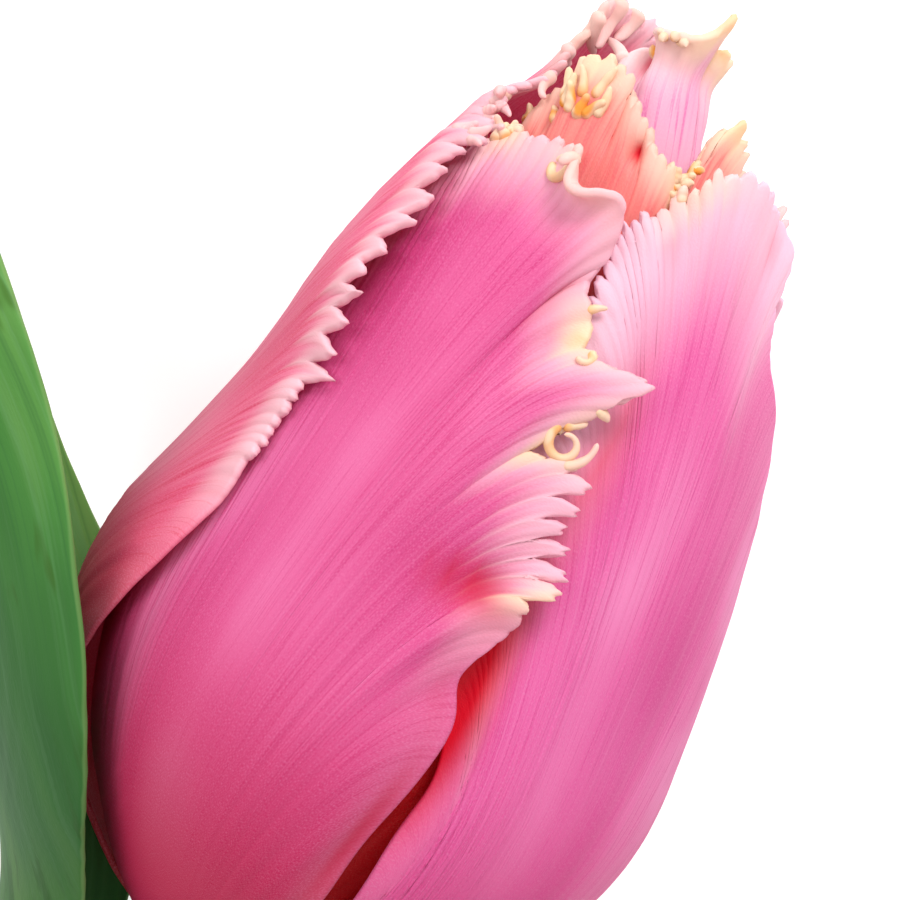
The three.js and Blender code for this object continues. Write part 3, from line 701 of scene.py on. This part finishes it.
def tuft_curls(tepal, random):
    """Crowds of short fingers round a place of the margin, as curls."""
    for share, reach, count, length, thickness, warmth in tepal["tufts"]:
        for _ in range(count):
            yield [share + reach * random.uniform(-1, 1), random.uniform(0.1, 0.8),
                   length * random.uniform(0.4, 1.1),
                   random.uniform(-50, 50), random.uniform(-90, 150), random.uniform(0, 90),
                   thickness * random.uniform(0.8, 1.25), warmth * random.uniform(0.6, 1)]


def curl_start(blade, curl):
    """A curl's first point, the blade's normal there, and the curl's own three directions."""
    share, inset, _, aim, winding, plane, _, _ = curl
    middle = blade.middle
    column = int(np.searchsorted(blade.margin.share, share))
    row = int(np.argmin(np.abs(blade.to_edge[:, column] - inset)))
    rim = middle[row, column]
    outward = unit(rim - middle[row - 5, column])
    sideways = unit(middle[row, column + 3] - middle[row, column - 3])
    normal = unit(np.cross(sideways, outward))
    sideways = np.cross(outward, normal)
    aim, plane = math.radians(aim), math.radians(plane)
    first = math.cos(aim) * outward + math.sin(aim) * sideways
    second = math.cos(aim) * sideways - math.sin(aim) * outward
    second = math.cos(plane) * second + math.copysign(1, winding) * math.sin(plane) * normal
    return rim, normal, first, second, np.cross(first, second)


def curl_tube(blade, curl, random):
    """A finger that grows out of the margin and winds up, as points, faces and values."""
    _, inset, length, _, winding, plane, thickness, warmth = curl
    rim, normal, first, second, third = curl_start(blade, curl)
    rings = 8 + int(length / CURL_RING_STEP)
    along = np.linspace(0, 1, rings)
    heading = np.radians(winding) * along**1.2
    step = length / (rings - 1)
    forward = first * np.cos(heading)[:, None] + second * np.sin(heading)[:, None]
    bend = second * np.cos(heading)[:, None] - first * np.sin(heading)[:, None]
    raised = normal * math.copysign(min(inset, 1) * thickness, plane)
    centre = rim - first * thickness + np.cumsum(forward * step, axis=0)
    centre = centre + raised * (0.2 + 1.2 * along)[:, None]
    ends = np.minimum(along + 0.02, 1 - along) * length / thickness
    uneven = 1 + 0.15 * smooth_noise(random, along, 0.22)
    radius = thickness * (1.15 - 0.65 * along) * rounded(ends) * uneven
    angle = angles_round(CURL_SIDES)
    round_it = bend[:, None] * np.cos(angle)[:, None] + third * np.sin(angle)[:, None] * 1.15
    points, faces = closed_rings(centre[:, None] + round_it * radius[:, None, None])
    glow = warmth * (1.2 - 0.5 * along)
    values = {key: np.full(len(points), float(value)) for key, value in CURL_VALUES.items()}
    values["vein"] = points.copy()
    values["warmth"] = np.concatenate([np.repeat(glow, CURL_SIDES), glow[[0, -1]]])
    return points, faces, values


def joined(parts):
    """Several bodies' points, faces and values as one."""
    points, faces, values = parts[0]
    for more_points, more_faces, more_values in parts[1:]:
        faces = faces + [[k + len(points) for k in face] for face in more_faces]
        points = np.concatenate([points, more_points])
        values = {key: np.concatenate([array, more_values[key]]) for key, array in values.items()}
    return points, faces, values


def tepal_piece(tepal):
    """A tepal: its blade follows the bloom's form, and its margin rolls, ruffles and is fringed."""
    random = np.random.default_rng(tepal["seed"])
    margin = Margin(tepal)
    blade = Blade(tepal, margin, Teeth(tepal, margin, random), random)
    parts = [closed_blade(blade.middle, blade.thickness(), blade.values())]
    for curl in [*tepal["curls"], *tuft_curls(tepal, random)]:
        parts.append(curl_tube(blade, curl, random))
    points, faces, values = joined(parts)
    add_piece(tepal["name"] + "_petal", (lay_down(points), faces, values),
              petal_material(tepal["look"]), tepal["name"])


def closed_rings(rings):
    """Points and faces of a closed form from rings of points, with a point over each end's middle."""
    count, sides = rings.shape[:2]
    points = np.concatenate([rings.reshape(-1, 3), [rings[0].mean(axis=0)], [rings[-1].mean(axis=0)]])
    k = np.arange(sides)
    following = (k + 1) % sides
    faces = []
    for ring in range(count - 1):
        low, high = ring * sides, (ring + 1) * sides
        faces += np.stack([low + k, low + following, high + following, high + k], axis=1).tolist()
    first, last = count * sides, count * sides + 1
    faces += [[first, b, a] for a, b in zip(k, following)]
    top = (count - 1) * sides
    faces += [[last, top + a, top + b] for a, b in zip(k, following)]
    return points, faces


# ---------------------------------------------------------------- leaves

LEAVES = [
    # Stations: [x, y, z of the keel from the bloom's base, half width, radius of the channel, opening
    # direction]. Halves: [x, factor of the lower half's width, factor of the upper half's].
    dict(name="leaf_upper", seed=31, halves=[
        [-20, 1, 1], [0, 1, 1], [8, 0.95, 1.05], [16, 0.86, 1.12], [20, 0.88, 1.24],
        [24, 0.92, 1.42], [28, 0.96, 1.56], [34, 1, 1.6], [40, 1, 1.4], [47, 1, 1],
    ], stations=[
        [-62, 4.1, -2, 6, 4.4, 180], [-46, 5.4, -1.2, 7.5, 4.8, 180],
        [-30, 7.4, -0.5, 8.8, 5.6, 180], [-15, 10.4, 0, 9.8, 6.6, 180],
        [-3, 13.8, 0.2, 11.6, 8.8, 180], [4, 18.1, 0.6, 15.4, 13.8, 181],
        [8.5, 21.9, 0.9, 17.2, 15.6, 183], [12.5, 25.5, 0.8, 17.4, 15.6, 185],
        [17.5, 31, 0.4, 17, 14.4, 186], [22.5, 38, -0.8, 15.4, 13.4, 184],
        [27, 45, -3, 12.8, 12.4, 182], [32, 55, -7, 10.4, 12, 172],
        [38, 66, -12, 7.6, 11, 150], [43, 76, -16, 4.4, 9, 122],
        [47, 85, -18.3, 0.6, 8, 100],
    ]),
    dict(name="leaf_lower", seed=32, halves=[[-168, 1, 1], [26, 1, 1]], stations=[
        [-168, -24.6, -12.2, 6.5, 4.6, 0], [-150, -20.9, -11.3, 8.5, 5.4, 8],
        [-130, -20, -12.7, 10.5, 7.2, 25], [-108, -23.5, -15.7, 13, 10, 50],
        [-84, -31, -17.9, 14.5, 13, 75], [-58, -42, -18.5, 14, 14, 88],
        [-32, -54, -18.6, 12, 13, 92], [-8, -65, -18.5, 8.5, 12, 94],
        [12, -73, -18.3, 4.5, 10, 92], [26, -78, -18.2, 0.6, 8, 90],
    ]),
]
LEAF_CLEARANCE = 1.7    # from the bloom, which the upper leaf cups
CUP_START = (0, 6)      # heights on the bloom between which it comes to keep that clearance
CUP_END = (30, 40)      # and between which it stops keeping it
LEAF_ROWS = 220
LEAF_COLUMNS = 72
LEAF_KEEL_THICKNESS = 1.3
LEAF_EDGE_THICKNESS = 0.55
LEAF_KEEL_RIDGE = 0.25  # how much thicker it is right along its keel
LEAF_VEIN_DEPTH = 0.035
LEAF_VEIN_PITCH = 0.95
LEAF_WAVE = 0.45        # of both margins


def leaf_surface(stations, halves):
    """A leaf's middle surface as a grid, with its columns' shares of the half width, that width, and
    their places across."""
    keel, half_width, channel, turn = np.split(stations, [3, 4, 5], axis=1)
    forward = unit(np.gradient(keel, axis=0))
    left = unit(np.cross([0, 0, 1], forward))
    turn = np.radians(turn)
    inward = left * np.cos(turn) + np.array([0, 0, 1]) * np.sin(turn)
    inward = unit(inward - forward * np.sum(inward * forward, axis=1, keepdims=True))
    across = np.cross(inward, forward)
    from_keel = np.sin(np.linspace(-1, 1, LEAF_COLUMNS) * np.pi / 2)
    lower, upper = smooth_pair(halves, keel[:, [0]])
    half_width = half_width * np.where(from_keel > 0, upper, lower)
    place = from_keel[None, :] * half_width
    angle = place / channel
    middle = sections(keel, across, inward, channel * np.sin(angle), channel * (1 - np.cos(angle)))
    return clear_of_bloom(middle), from_keel[None, :], half_width, place


def clear_of_bloom(middle):
    """A leaf's surface, moved out where it would come too near the bloom."""
    height = middle[..., 0]
    near_bloom = smooth_step(height, *CUP_START) * (1 - smooth_step(height, *CUP_END))
    clear = (smooth_value(BLOOM_PROFILE, height) + LEAF_CLEARANCE) * near_bloom
    middle[..., 1:] *= np.maximum(clear / np.hypot(middle[..., 1], middle[..., 2]), 1)[..., None]
    return middle


def leaf_piece(leaf):
    """A channelled leaf with lengthwise veins, wavy margins and a ridge along its keel."""
    random = np.random.default_rng(leaf["seed"])
    stations = catmull_rom(leaf["stations"])
    lengths = distances(stations[:, :3])
    along = np.linspace(0, lengths[-1], LEAF_ROWS)
    stations = between(along, lengths, stations)
    middle, from_keel, half_width, place = leaf_surface(stations, leaf["halves"])
    veins = np.cos(2 * np.pi * place / LEAF_VEIN_PITCH) * smooth_step(half_width, 1.5, 5)
    waves = np.stack([smooth_noise(random, along, 13.0) for _ in range(2)], axis=1)
    waves = waves[:, np.where(from_keel[0] < 0, 0, 1)] * np.abs(from_keel) ** 3
    relief = LEAF_VEIN_DEPTH * veins + LEAF_WAVE * waves * smooth_step(half_width, 2, 8)
    middle = middle + grid_normals(middle) * relief[..., None]
    to_edge = half_width * (1 - np.abs(from_keel))
    near_keel = 1 - smooth_step(np.abs(from_keel), 0, 0.55)
    thickness = LEAF_EDGE_THICKNESS + (LEAF_KEEL_THICKNESS - LEAF_EDGE_THICKNESS) * near_keel
    thickness = thickness + LEAF_KEEL_RIDGE * bump(place, 0, 0.9)
    thickness = thickness * rounded(to_edge / RIM_ROUNDING)
    ones = np.ones_like(place)
    values = {
        "edge": to_edge,
        "vein": np.stack([place, ones * along[:, None], ones * leaf["seed"]], axis=-1),
        "height": middle[..., 0],
    }
    form = closed_blade(middle + FROM_BLOOM_BASE, thickness, values)
    add_piece(leaf["name"] + "_blade", form, leaf_material(), leaf["name"])


# ---------------------------------------------------------------- stem, pistil and stamens

STEM_RADIUS = 3.4
STEM_FOOT_RADIUS = 3.5
RECEPTACLE_RADIUS = 6.1
RECEPTACLE_LENGTH = 7
RECEPTACLE_TOP = -0.8
STEM_PATH = [
    [RECEPTACLE_TOP, 0, 0], [-30, 0.3, -0.3], [-70, -1, -2.6], [-115, -6.5, -7],
    [-160, -17, -11.6], [-205, -31, -15], [-240, -43, STEM_FOOT_RADIUS - REST_HEIGHT],
]
STEM_SIDES = 72
STEM_RINGS = 240
STEM_UNEVENNESS = 0.05
STEM_RIDGES = [[9, 0.03, 0], [23, 0.02, 1]]  # of fine ridges: count, height, turn
# The cut end is rounded at its rim and slightly hollow: [share of its radius, how far it stands out].
STEM_END = [[0.97, 0.06], [0.9, 0.08], [0.6, 0.05], [0.3, 0.01]]


def stem_piece():
    random = np.random.default_rng(41)
    path = catmull_rom(STEM_PATH, 60)
    lengths = distances(path)
    share = np.linspace(0, 1, STEM_RINGS) ** 1.3
    below = share * lengths[-1]
    centre = between(below, lengths, path)
    forward = unit(np.gradient(centre, axis=0))
    side = unit(np.cross([0, 0, 1], forward))
    up = np.cross(forward, side)
    flare = np.clip(1 - below / RECEPTACLE_LENGTH, 0, None) ** 2
    radius = STEM_RADIUS + (STEM_FOOT_RADIUS - STEM_RADIUS) * share
    radius = radius + (RECEPTACLE_RADIUS - STEM_RADIUS) * flare
    radius = radius + STEM_UNEVENNESS * (smooth_noise(random, below, 11.0) - 2)
    angle = angles_round(STEM_SIDES)
    ridges = sum(height * np.cos(count * angle + turn) for count, height, turn in STEM_RIDGES)
    size = radius[:, None] + ridges[None, :]
    rings = sections(centre, side, up, size * np.cos(angle), size * np.sin(angle))
    end = [centre[-1] + (rings[-1] - centre[-1]) * shrink + forward[-1] * past
           for shrink, past in STEM_END]
    points, faces = closed_rings(np.concatenate([rings, end]))
    travelled = np.append(below, np.full(len(end), below[-1]))
    vein = np.zeros((len(points), 3))
    vein[:-2, 0] = np.tile(angle * STEM_RADIUS, len(travelled))
    vein[:-2, 1] = np.repeat(travelled, STEM_SIDES)
    vein[-1, 1] = travelled[-1]
    form = points + FROM_BLOOM_BASE, faces, {"vein": vein}
    add_piece("stem_stalk", form, stem_material(), "stem")


def turned_rings(profile, count, sides, lobes):
    """Rings of a turned form about Z, whose radius swells into lobes."""
    heights = np.linspace(profile[0][0], profile[-1][0], count)[:, None]
    angle = angles_round(sides)[None, :]
    size = smooth_value(profile, heights) * (1 + lobes(heights, angle))
    height = np.broadcast_to(heights, size.shape)
    return np.stack([size * np.cos(angle), size * np.sin(angle), height], axis=-1)


# Profiles: [height above the bloom's base, radius].
PISTIL_PROFILE = [
    [-0.3, 1.1], [2, 1.5], [5, 2.3], [11, 2.5], [17, 2.2], [19, 1.9], [20.6, 2.6], [22, 3.1],
    [23.1, 2.3], [23.4, 0.4],
]
STAMEN_PROFILE = [
    [-0.3, 0.5], [3, 0.7], [8, 0.45], [8.6, 0.5], [9.6, 1.1], [13, 1.25], [17, 1.05],
    [18.8, 0.55], [19.2, 0.1],
]
STAMEN_COUNT = 6
STAMEN_RING_RADIUS = 2.1
STAMEN_LEAN = 15


def pistil_piece():
    random = np.random.default_rng(51)

    def lobes(height, angle):
        stigma = smooth_step(height, 18.6, 20.5)
        crinkle = 0.03 * np.sin(19 * angle + 3 * height) + 0.02 * np.sin(31 * angle - 5 * height)
        body = 0.07 * np.cos(3 * angle) - 0.03 * bump(np.cos(3 * angle), -1, 0.3)
        return body * (1 - stigma) + stigma * (0.26 * np.cos(3 * angle) + crinkle)

    rings = turned_rings(PISTIL_PROFILE, 120, 60, lobes)
    points, faces = closed_rings(rings + 0.01 * random.uniform(-1, 1, rings.shape))
    form = lay_down(points), faces, {"height": points[:, 2]}
    add_piece("pistil_carpels", form, pistil_material(), "pistil")


def stamen_piece(number):
    def lobes(height, angle):
        anther = smooth_step(height, 8.8, 10) * (1 - smooth_step(height, 17.5, 19))
        furrow = -0.22 * bump(np.abs(np.sin(angle)), 1, 0.25)
        grain = 0.02 * np.sin(17 * angle + 9 * height)
        return anther * (0.18 * np.cos(2 * angle) + furrow + grain)

    points, faces = closed_rings(turned_rings(STAMEN_PROFILE, 80, 32, lobes))
    azimuth = math.radians((number + 0.5) * 360 / STAMEN_COUNT)
    leaning = np.array(Matrix.Rotation(math.radians(STAMEN_LEAN), 3, "Y"))
    turning = np.array(Matrix.Rotation(azimuth, 3, "Z"))
    placed = (points @ leaning.T + [STAMEN_RING_RADIUS, 0, 0]) @ turning.T
    form = lay_down(placed), faces, {"height": points[:, 2]}
    node = f"stamen_{number + 1}"
    add_piece(node + "_anther", form, stamen_material(), node)


# ---------------------------------------------------------------- materials

def srgb(red, green, blue):
    """A colour given as it looks on a screen, from 0 to 255, as linear light with an alpha of 1."""
    light = [value / 255 / 12.92 if value <= 10 else ((value / 255 + 0.055) / 1.055) ** 2.4
             for value in (red, green, blue)]
    return (*light, 1)


class Nodes:
    """A material's node tree, built with short calls. ramp() and blend() take colours as on a screen."""

    def __init__(self, name):
        self.material = bpy.data.materials.new(name)
        self.material.use_nodes = True
        self.tree = self.material.node_tree
        self.shader = self.tree.nodes["Principled BSDF"]

    def add(self, kind, **settings):
        """A node with some of its inputs set."""
        node = self.tree.nodes.new("ShaderNode" + kind)
        for key, value in settings.items():
            self.put(node.inputs[key.replace("_", " ")], value)
        return node

    def put(self, socket, value):
        if isinstance(value, bpy.types.NodeSocket):
            self.tree.links.new(value, socket)
        else:
            socket.default_value = value

    def attribute(self, name, output="Fac"):
        node = self.add("Attribute")
        node.attribute_name = name
        return node.outputs[output]

    def object_place(self):
        return self.add("TexCoord").outputs["Object"]

    def math(self, operation, a, b=0.0, addend=0.0, clamp=False):
        node = self.add("Math")
        node.operation = operation
        node.use_clamp = clamp
        for socket, value in zip(node.inputs, (a, b, addend)):
            self.put(socket, value)
        return node.outputs[0]

    def times(self, a, b):
        return self.math("MULTIPLY", a, b)

    def noise(self, vector, scale, detail=3.0, roughness=0.5):
        """Noise with its own scale along each axis."""
        vector = self.add("Mapping", Vector=vector, Scale=scale).outputs[0]
        node = self.add("TexNoise", Vector=vector, Scale=1.0, Detail=detail, Roughness=roughness)
        return node.outputs["Fac"]

    def ramp(self, value, stops):
        node = self.add("ValToRGB", Fac=value)
        elements = node.color_ramp.elements
        while len(elements) < len(stops):
            elements.new(0.5)
        for element, (position, color) in zip(elements, stops):
            element.position = position
            element.color = srgb(*color)
        return node.outputs["Color"]

    def range(self, value, low, high, start=0.0, end=1.0):
        """From start to end as the value goes from low to high, smoothly."""
        node = self.add("MapRange", Value=value, From_Min=low, From_Max=high, To_Min=start, To_Max=end)
        node.interpolation_type = "SMOOTHSTEP"
        return node.outputs[0]

    def blend(self, amount, base, color):
        """The base with an amount of a colour over it."""
        node = self.add("Mix")
        node.data_type = "RGBA"
        self.put(node.inputs["Factor"], amount)
        self.put(node.inputs["A"], base)
        self.put(node.inputs["B"], srgb(*color))
        return node.outputs["Result"]

    def bump(self, height, strength, distance):
        return self.add("Bump", Height=height, Strength=strength, Distance=distance).outputs[0]

    def let_light_through(self, color, normal, amount):
        """Mixes in the light that passes from behind."""
        through = self.add("BsdfTranslucent", Color=color, Normal=normal)
        mixed = self.add("MixShader", Fac=amount)
        self.put(mixed.inputs[1], self.shader.outputs[0])
        self.put(mixed.inputs[2], through.outputs[0])
        self.put(self.tree.nodes["Material Output"].inputs["Surface"], mixed.outputs[0])
        return self.material

    def finish(self, **inputs):
        for key, value in inputs.items():
            self.put(self.shader.inputs[key.replace("_", " ")], value)
        return self.material


# How tepals look. Colours as on a screen: the darker, middle and lighter parts of the blade; its
# lower end, which is partly its own deeper red and partly painted shade deep in the bloom; the
# painted shade in its hollows; and its margin. low_span: the shares of the bloom's height from which the
# lower end's colour sets in and is full; hollow_span: the same for how hollow a place is.
# margin_reach: how many millimetres in the margin's colour begins. grain: how pale its specks are.
PLAIN_LOOK = dict(low_span=(0.42, 0.08), hollow=(226, 20, 50), hollow_span=(0.15, 1), grain=0.24)
PETAL_LOOKS = {
    "rose": PLAIN_LOOK | dict(
        deep=(214, 60, 130), pink=(230, 94, 156), light=(248, 150, 200), low=(214, 20, 78),
        hollow=(210, 16, 64), hollow_span=(0.1, 1.15), margin=(255, 200, 214), margin_reach=6.5,
    ),
    "lilac": PLAIN_LOOK | dict(
        deep=(222, 70, 148), pink=(242, 108, 176), light=(254, 168, 214), low=(246, 72, 150),
        hollow=(246, 12, 46), hollow_span=(0.15, 1.5), margin=(255, 214, 228), margin_reach=13,
    ),
    "salmon": PLAIN_LOOK | dict(
        deep=(232, 66, 110), pink=(242, 104, 146), light=(252, 162, 190), low=(204, 48, 62),
        margin=(255, 210, 218), margin_reach=3.8,
    ),
    # This inner tepal's lower part shows only through shaded gaps between the outer ones, so its deep
    # red low colour is painted shade.
    "peach": PLAIN_LOOK | dict(
        deep=(242, 112, 116), pink=(250, 148, 138), light=(255, 190, 172), low=(226, 0, 24),
        low_span=(0.8, 0.58), hollow_span=(0.15, 0.9), margin=(255, 212, 194), margin_reach=3.5,
        grain=0.1,
    ),
    "pale": PLAIN_LOOK | dict(
        deep=(236, 116, 182), pink=(250, 168, 206), light=(255, 208, 228), low=(226, 10, 50),
        low_span=(0.75, 0.5), hollow=(220, 40, 80), margin=(255, 222, 220), margin_reach=6,
        grain=0.2,
    ),
}


@functools.cache
def petal_material(look):
    """Satin pink, with darker veins that fan out, a pale margin and cream to yellow tufts."""
    style = PETAL_LOOKS[look]
    deep, light = style["deep"], style["light"]
    nodes = Nodes(f"petal_{look}")
    vein = nodes.attribute("vein", "Vector")
    edge, rib, tint, spread, warmth = (
        nodes.attribute(name) for name in ("edge", "rib", "tint", "spread", "warmth"))

    # The blade is cloudy, and its tints make stretches paler or deeper; some tints are painted light on
    # parts that lie in shade.
    clouds = nodes.noise(nodes.object_place(), (55, 120, 120), 1.0)
    clouds = nodes.math("MULTIPLY_ADD", tint, 0.4, clouds)
    base = nodes.ramp(clouds, [(0.15, deep), (0.5, style["pink"]), (0.92, light)])

    # Thin darker veins, and paler ones between them, fade where they crowd together.
    streaks = nodes.noise(vein, (1.5, 0.04, 1), 2.0, 0.6)
    strength = nodes.range(spread, 0.1, 0.8, 0.3, 1.0)
    off_line = nodes.math("ABSOLUTE", nodes.math("SUBTRACT", streaks, 0.5))
    base = nodes.blend(nodes.times(nodes.range(off_line, 0.04, 0.0, 0, 0.75), strength), base, deep)
    base = nodes.blend(nodes.times(nodes.range(streaks, 0.56, 0.76, 0, 0.18), strength), base, light)
    # Paler on the crests and deeper in the troughs of the pleats and ribs: painted highlight and painted
    # shade that follow the relief.
    base = nodes.blend(nodes.range(rib, 0.1, 1.1, 0, 0.45), base, light)
    base = nodes.blend(nodes.range(rib, -0.1, -1.1, 0, 0.5), base, deep)

    # Its foot is redder, partly its own colour and partly painted shade deep in the bloom; its
    # hollows get a deep red painted shade; its margin is pale, and its warm stretches are cream to
    # yellow.
    base = nodes.blend(nodes.range(nodes.attribute("height"), *style["low_span"]), base, style["low"])
    speckle = nodes.noise(vein, (9.0, 6.0, 1), 0.0)
    base = nodes.blend(nodes.range(speckle, 0.4, 0.75, 0, style["grain"]), base, light)
    fringed = nodes.range(nodes.attribute("fringed"), 0, 1, 0.1, 0.85)
    rim = nodes.times(nodes.range(edge, style["margin_reach"], 0.4), fringed)
    base = nodes.blend(rim, base, style["margin"])
    # Pressed-in places and the dimples behind inward folds are painted with a deep red shade.
    hollow = nodes.range(nodes.attribute("hollow"), *style["hollow_span"])
    base = nodes.blend(hollow, base, style["hollow"])
    cream = nodes.math("MULTIPLY", nodes.range(edge, 3.0, 0.4), warmth, clamp=True)
    base = nodes.blend(cream, base, (255, 224, 188))
    patches = nodes.range(nodes.noise(vein, (0.8, 0.8, 1), 0.0), 0.62, 0.42)
    orange = nodes.times(patches, nodes.range(warmth, 0.8, 1.4))
    base = nodes.blend(nodes.times(cream, orange), base, (252, 170, 70))

    cells = nodes.bump(speckle, 0.25, 0.00006)
    nodes.finish(Base_Color=base, Roughness=0.5, Normal=cells, Specular_IOR_Level=0.3)
    return nodes.let_light_through(base, cells, 0.3)


@functools.cache
def leaf_material():
    """Green with a faint waxy bloom, mottled along its veins, with darker spots, and painted shade
    towards its stem end.
    """
    nodes = Nodes("leaf")
    vein = nodes.attribute("vein", "Vector")
    mottle = nodes.noise(vein, (0.14, 0.03, 1), 2.0, 0.6)
    base = nodes.ramp(mottle, [(0.3, (40, 92, 38)), (0.5, (66, 124, 52)), (0.7, (110, 156, 76))])
    streaks = nodes.noise(vein, (1.4, 0.02, 1), 2.0, 0.7)
    base = nodes.blend(nodes.range(streaks, 0.5, 0.68, 0, 0.3), base, (100, 148, 96))
    base = nodes.blend(nodes.range(streaks, 0.45, 0.3, 0, 0.35), base, (40, 92, 46))
    spots = nodes.noise(vein, (0.5, 0.12, 1), 2.0, 0.7)
    base = nodes.blend(nodes.range(spots, 0.58, 0.7, 0, 0.7), base, (56, 96, 24))
    # Darker towards the stem end, where the leaf lies in shade: painted shade.
    base = nodes.blend(nodes.range(nodes.attribute("height"), 30, 4, 0, 0.6), base, (30, 74, 34))
    edge = nodes.range(nodes.attribute("edge"), 0.2, 0.05, 0, 0.3)
    base = nodes.blend(edge, base, (130, 160, 96))
    grain = nodes.noise(vein, (7, 2.2, 1), 1.0)
    return nodes.finish(Base_Color=base, Roughness=0.55, Specular_IOR_Level=0.2,
                        Normal=nodes.bump(grain, 0.2, 0.00008))


@functools.cache
def stem_material():
    """Fresh green, with paler and darker stretches and fine lengthwise lines."""
    nodes = Nodes("stem")
    vein = nodes.attribute("vein", "Vector")
    lines = nodes.noise(vein, (1.6, 0.02, 1), 4.0, 0.6)
    clouds = nodes.noise(vein, (0.2, 0.03, 1), 2.0)
    base = nodes.ramp(clouds, [(0.35, (120, 160, 84)), (0.65, (158, 188, 118))])
    base = nodes.blend(nodes.range(lines, 0.4, 0.65, 0, 0.4), base, (96, 140, 66))
    return nodes.finish(Base_Color=base, Roughness=0.45, Normal=nodes.bump(lines, 0.3, 0.0001))


@functools.cache
def pistil_material():
    nodes = Nodes("pistil")
    grain = nodes.noise(nodes.object_place(), (1800, 1800, 1800))
    upward = nodes.range(nodes.attribute("height"), 16, 22)
    base = nodes.ramp(upward, [(0.0, (176, 196, 110)), (1.0, (238, 232, 178))])
    base = nodes.blend(nodes.range(grain, 0.3, 0.7, 0, 0.25), base, (150, 176, 90))
    return nodes.finish(Base_Color=base, Roughness=0.35, Normal=nodes.bump(grain, 0.3, 0.0001))


@functools.cache
def stamen_material():
    nodes = Nodes("stamen")
    dust = nodes.noise(nodes.object_place(), (4000, 4000, 4000), 2.0)
    upward = nodes.range(nodes.attribute("height"), 8.0, 9.4)
    base = nodes.ramp(upward, [(0.0, (240, 232, 200)), (1.0, (74, 44, 72))])
    base = nodes.blend(nodes.range(dust, 0.45, 0.75, 0, 0.5), base, (52, 26, 50))
    return nodes.finish(Base_Color=base, Roughness=0.75, Normal=nodes.bump(dust, 0.5, 0.00012))


# ---------------------------------------------------------------- floor, light and camera

CAMERA_DISTANCE = 0.2
CAMERA_TILT = math.radians(12)      # from straight down towards the bloom's tip
BLOOM_TURN = math.radians(30)       # of the bloom's axis in the picture, from upright
VIEW_WIDTH = 900 * 0.063 * MM       # what the picture's width shows at that distance
BLOOM_MIDDLE = Vector(((34 - REST_STATION) * MM, 0, REST_HEIGHT * MM))
AIM_UP = 3.46 * MM
AIM_LEFT = 1.51 * MM
FLOOR_HALF = 1.5                    # half its side
FLOOR_LEVEL = -0.2 * MM


def view_axes():
    """The camera's right, up and backward directions."""
    backward = Vector((math.sin(CAMERA_TILT), 0, math.cos(CAMERA_TILT)))
    tipward = Vector((math.cos(CAMERA_TILT), 0, -math.sin(CAMERA_TILT)))
    across = Vector((0, 1, 0))
    up = tipward * math.cos(BLOOM_TURN) + across * math.sin(BLOOM_TURN)
    return up.cross(backward), up, backward


def add_camera():
    right, up, backward = view_axes()
    aim = BLOOM_MIDDLE + up * AIM_UP - right * AIM_LEFT
    data = bpy.data.cameras.new("camera")
    data.sensor_width = 36
    data.lens = data.sensor_width * CAMERA_DISTANCE / VIEW_WIDTH
    data.clip_start = 0.005
    camera = add_object("camera", data)
    turn = Matrix((right, up, backward)).transposed().to_4x4()
    camera.matrix_world = Matrix.Translation(aim + backward * CAMERA_DISTANCE) @ turn
    bpy.context.scene.camera = camera


def add_area_light(name, towards, distance, size, power):
    """A square light that shines on the bloom from a direction given as (right, up, backward)."""
    parts = [axis * amount for axis, amount in zip(view_axes(), towards)]
    direction = sum(parts, Vector()).normalized()
    data = bpy.data.lights.new(name, "AREA")
    data.size = size
    data.energy = power
    light = add_object(name, data)
    light.location = BLOOM_MIDDLE + direction * distance
    light.rotation_euler = direction.to_track_quat("Z", "Y").to_euler()


def add_floor():
    """A pale floor just under the flower; its faint glow keeps it white."""
    mesh = bpy.data.meshes.new("floor")
    corners = [(x * FLOOR_HALF, y * FLOOR_HALF, FLOOR_LEVEL)
               for x, y in ((-1, -1), (1, -1), (1, 1), (-1, 1))]
    mesh.from_pydata(corners, [], [(0, 1, 2, 3)])
    mesh.materials.append(Nodes("floor").finish(
        Base_Color=(0.9, 0.9, 0.9, 1), Roughness=0.9,
        Emission_Color=(1, 1, 1, 1), Emission_Strength=0.3,
    ))
    add_object("floor", mesh)


def add_world():
    world = bpy.data.worlds.new("studio")
    world.use_nodes = True
    background = world.node_tree.nodes["Background"]
    background.inputs["Color"].default_value = (1, 1, 1, 1)
    background.inputs["Strength"].default_value = 0.7
    bpy.context.scene.world = world


def main():
    bpy.context.scene.view_settings.view_transform = "Standard"
    # These few bounces are enough for petals, and keep the render short.
    bpy.context.scene.cycles.max_bounces = 4
    bpy.context.scene.cycles.transmission_bounces = 3
    bpy.context.scene.cycles.diffuse_bounces = 3
    add_camera()
    add_floor()
    add_world()
    add_area_light("key", towards=(0.5, 0.85, 1.0), distance=0.6, size=0.25, power=2.9)
    add_area_light("fill", towards=(-0.8, 0.4, 0.9), distance=0.7, size=0.4, power=1.5)
    for tepal in TEPALS:
        tepal_piece(tepal)
    for leaf in LEAVES:
        leaf_piece(leaf)
    stem_piece()
    pistil_piece()
    for number in range(STAMEN_COUNT):
        stamen_piece(number)


main()
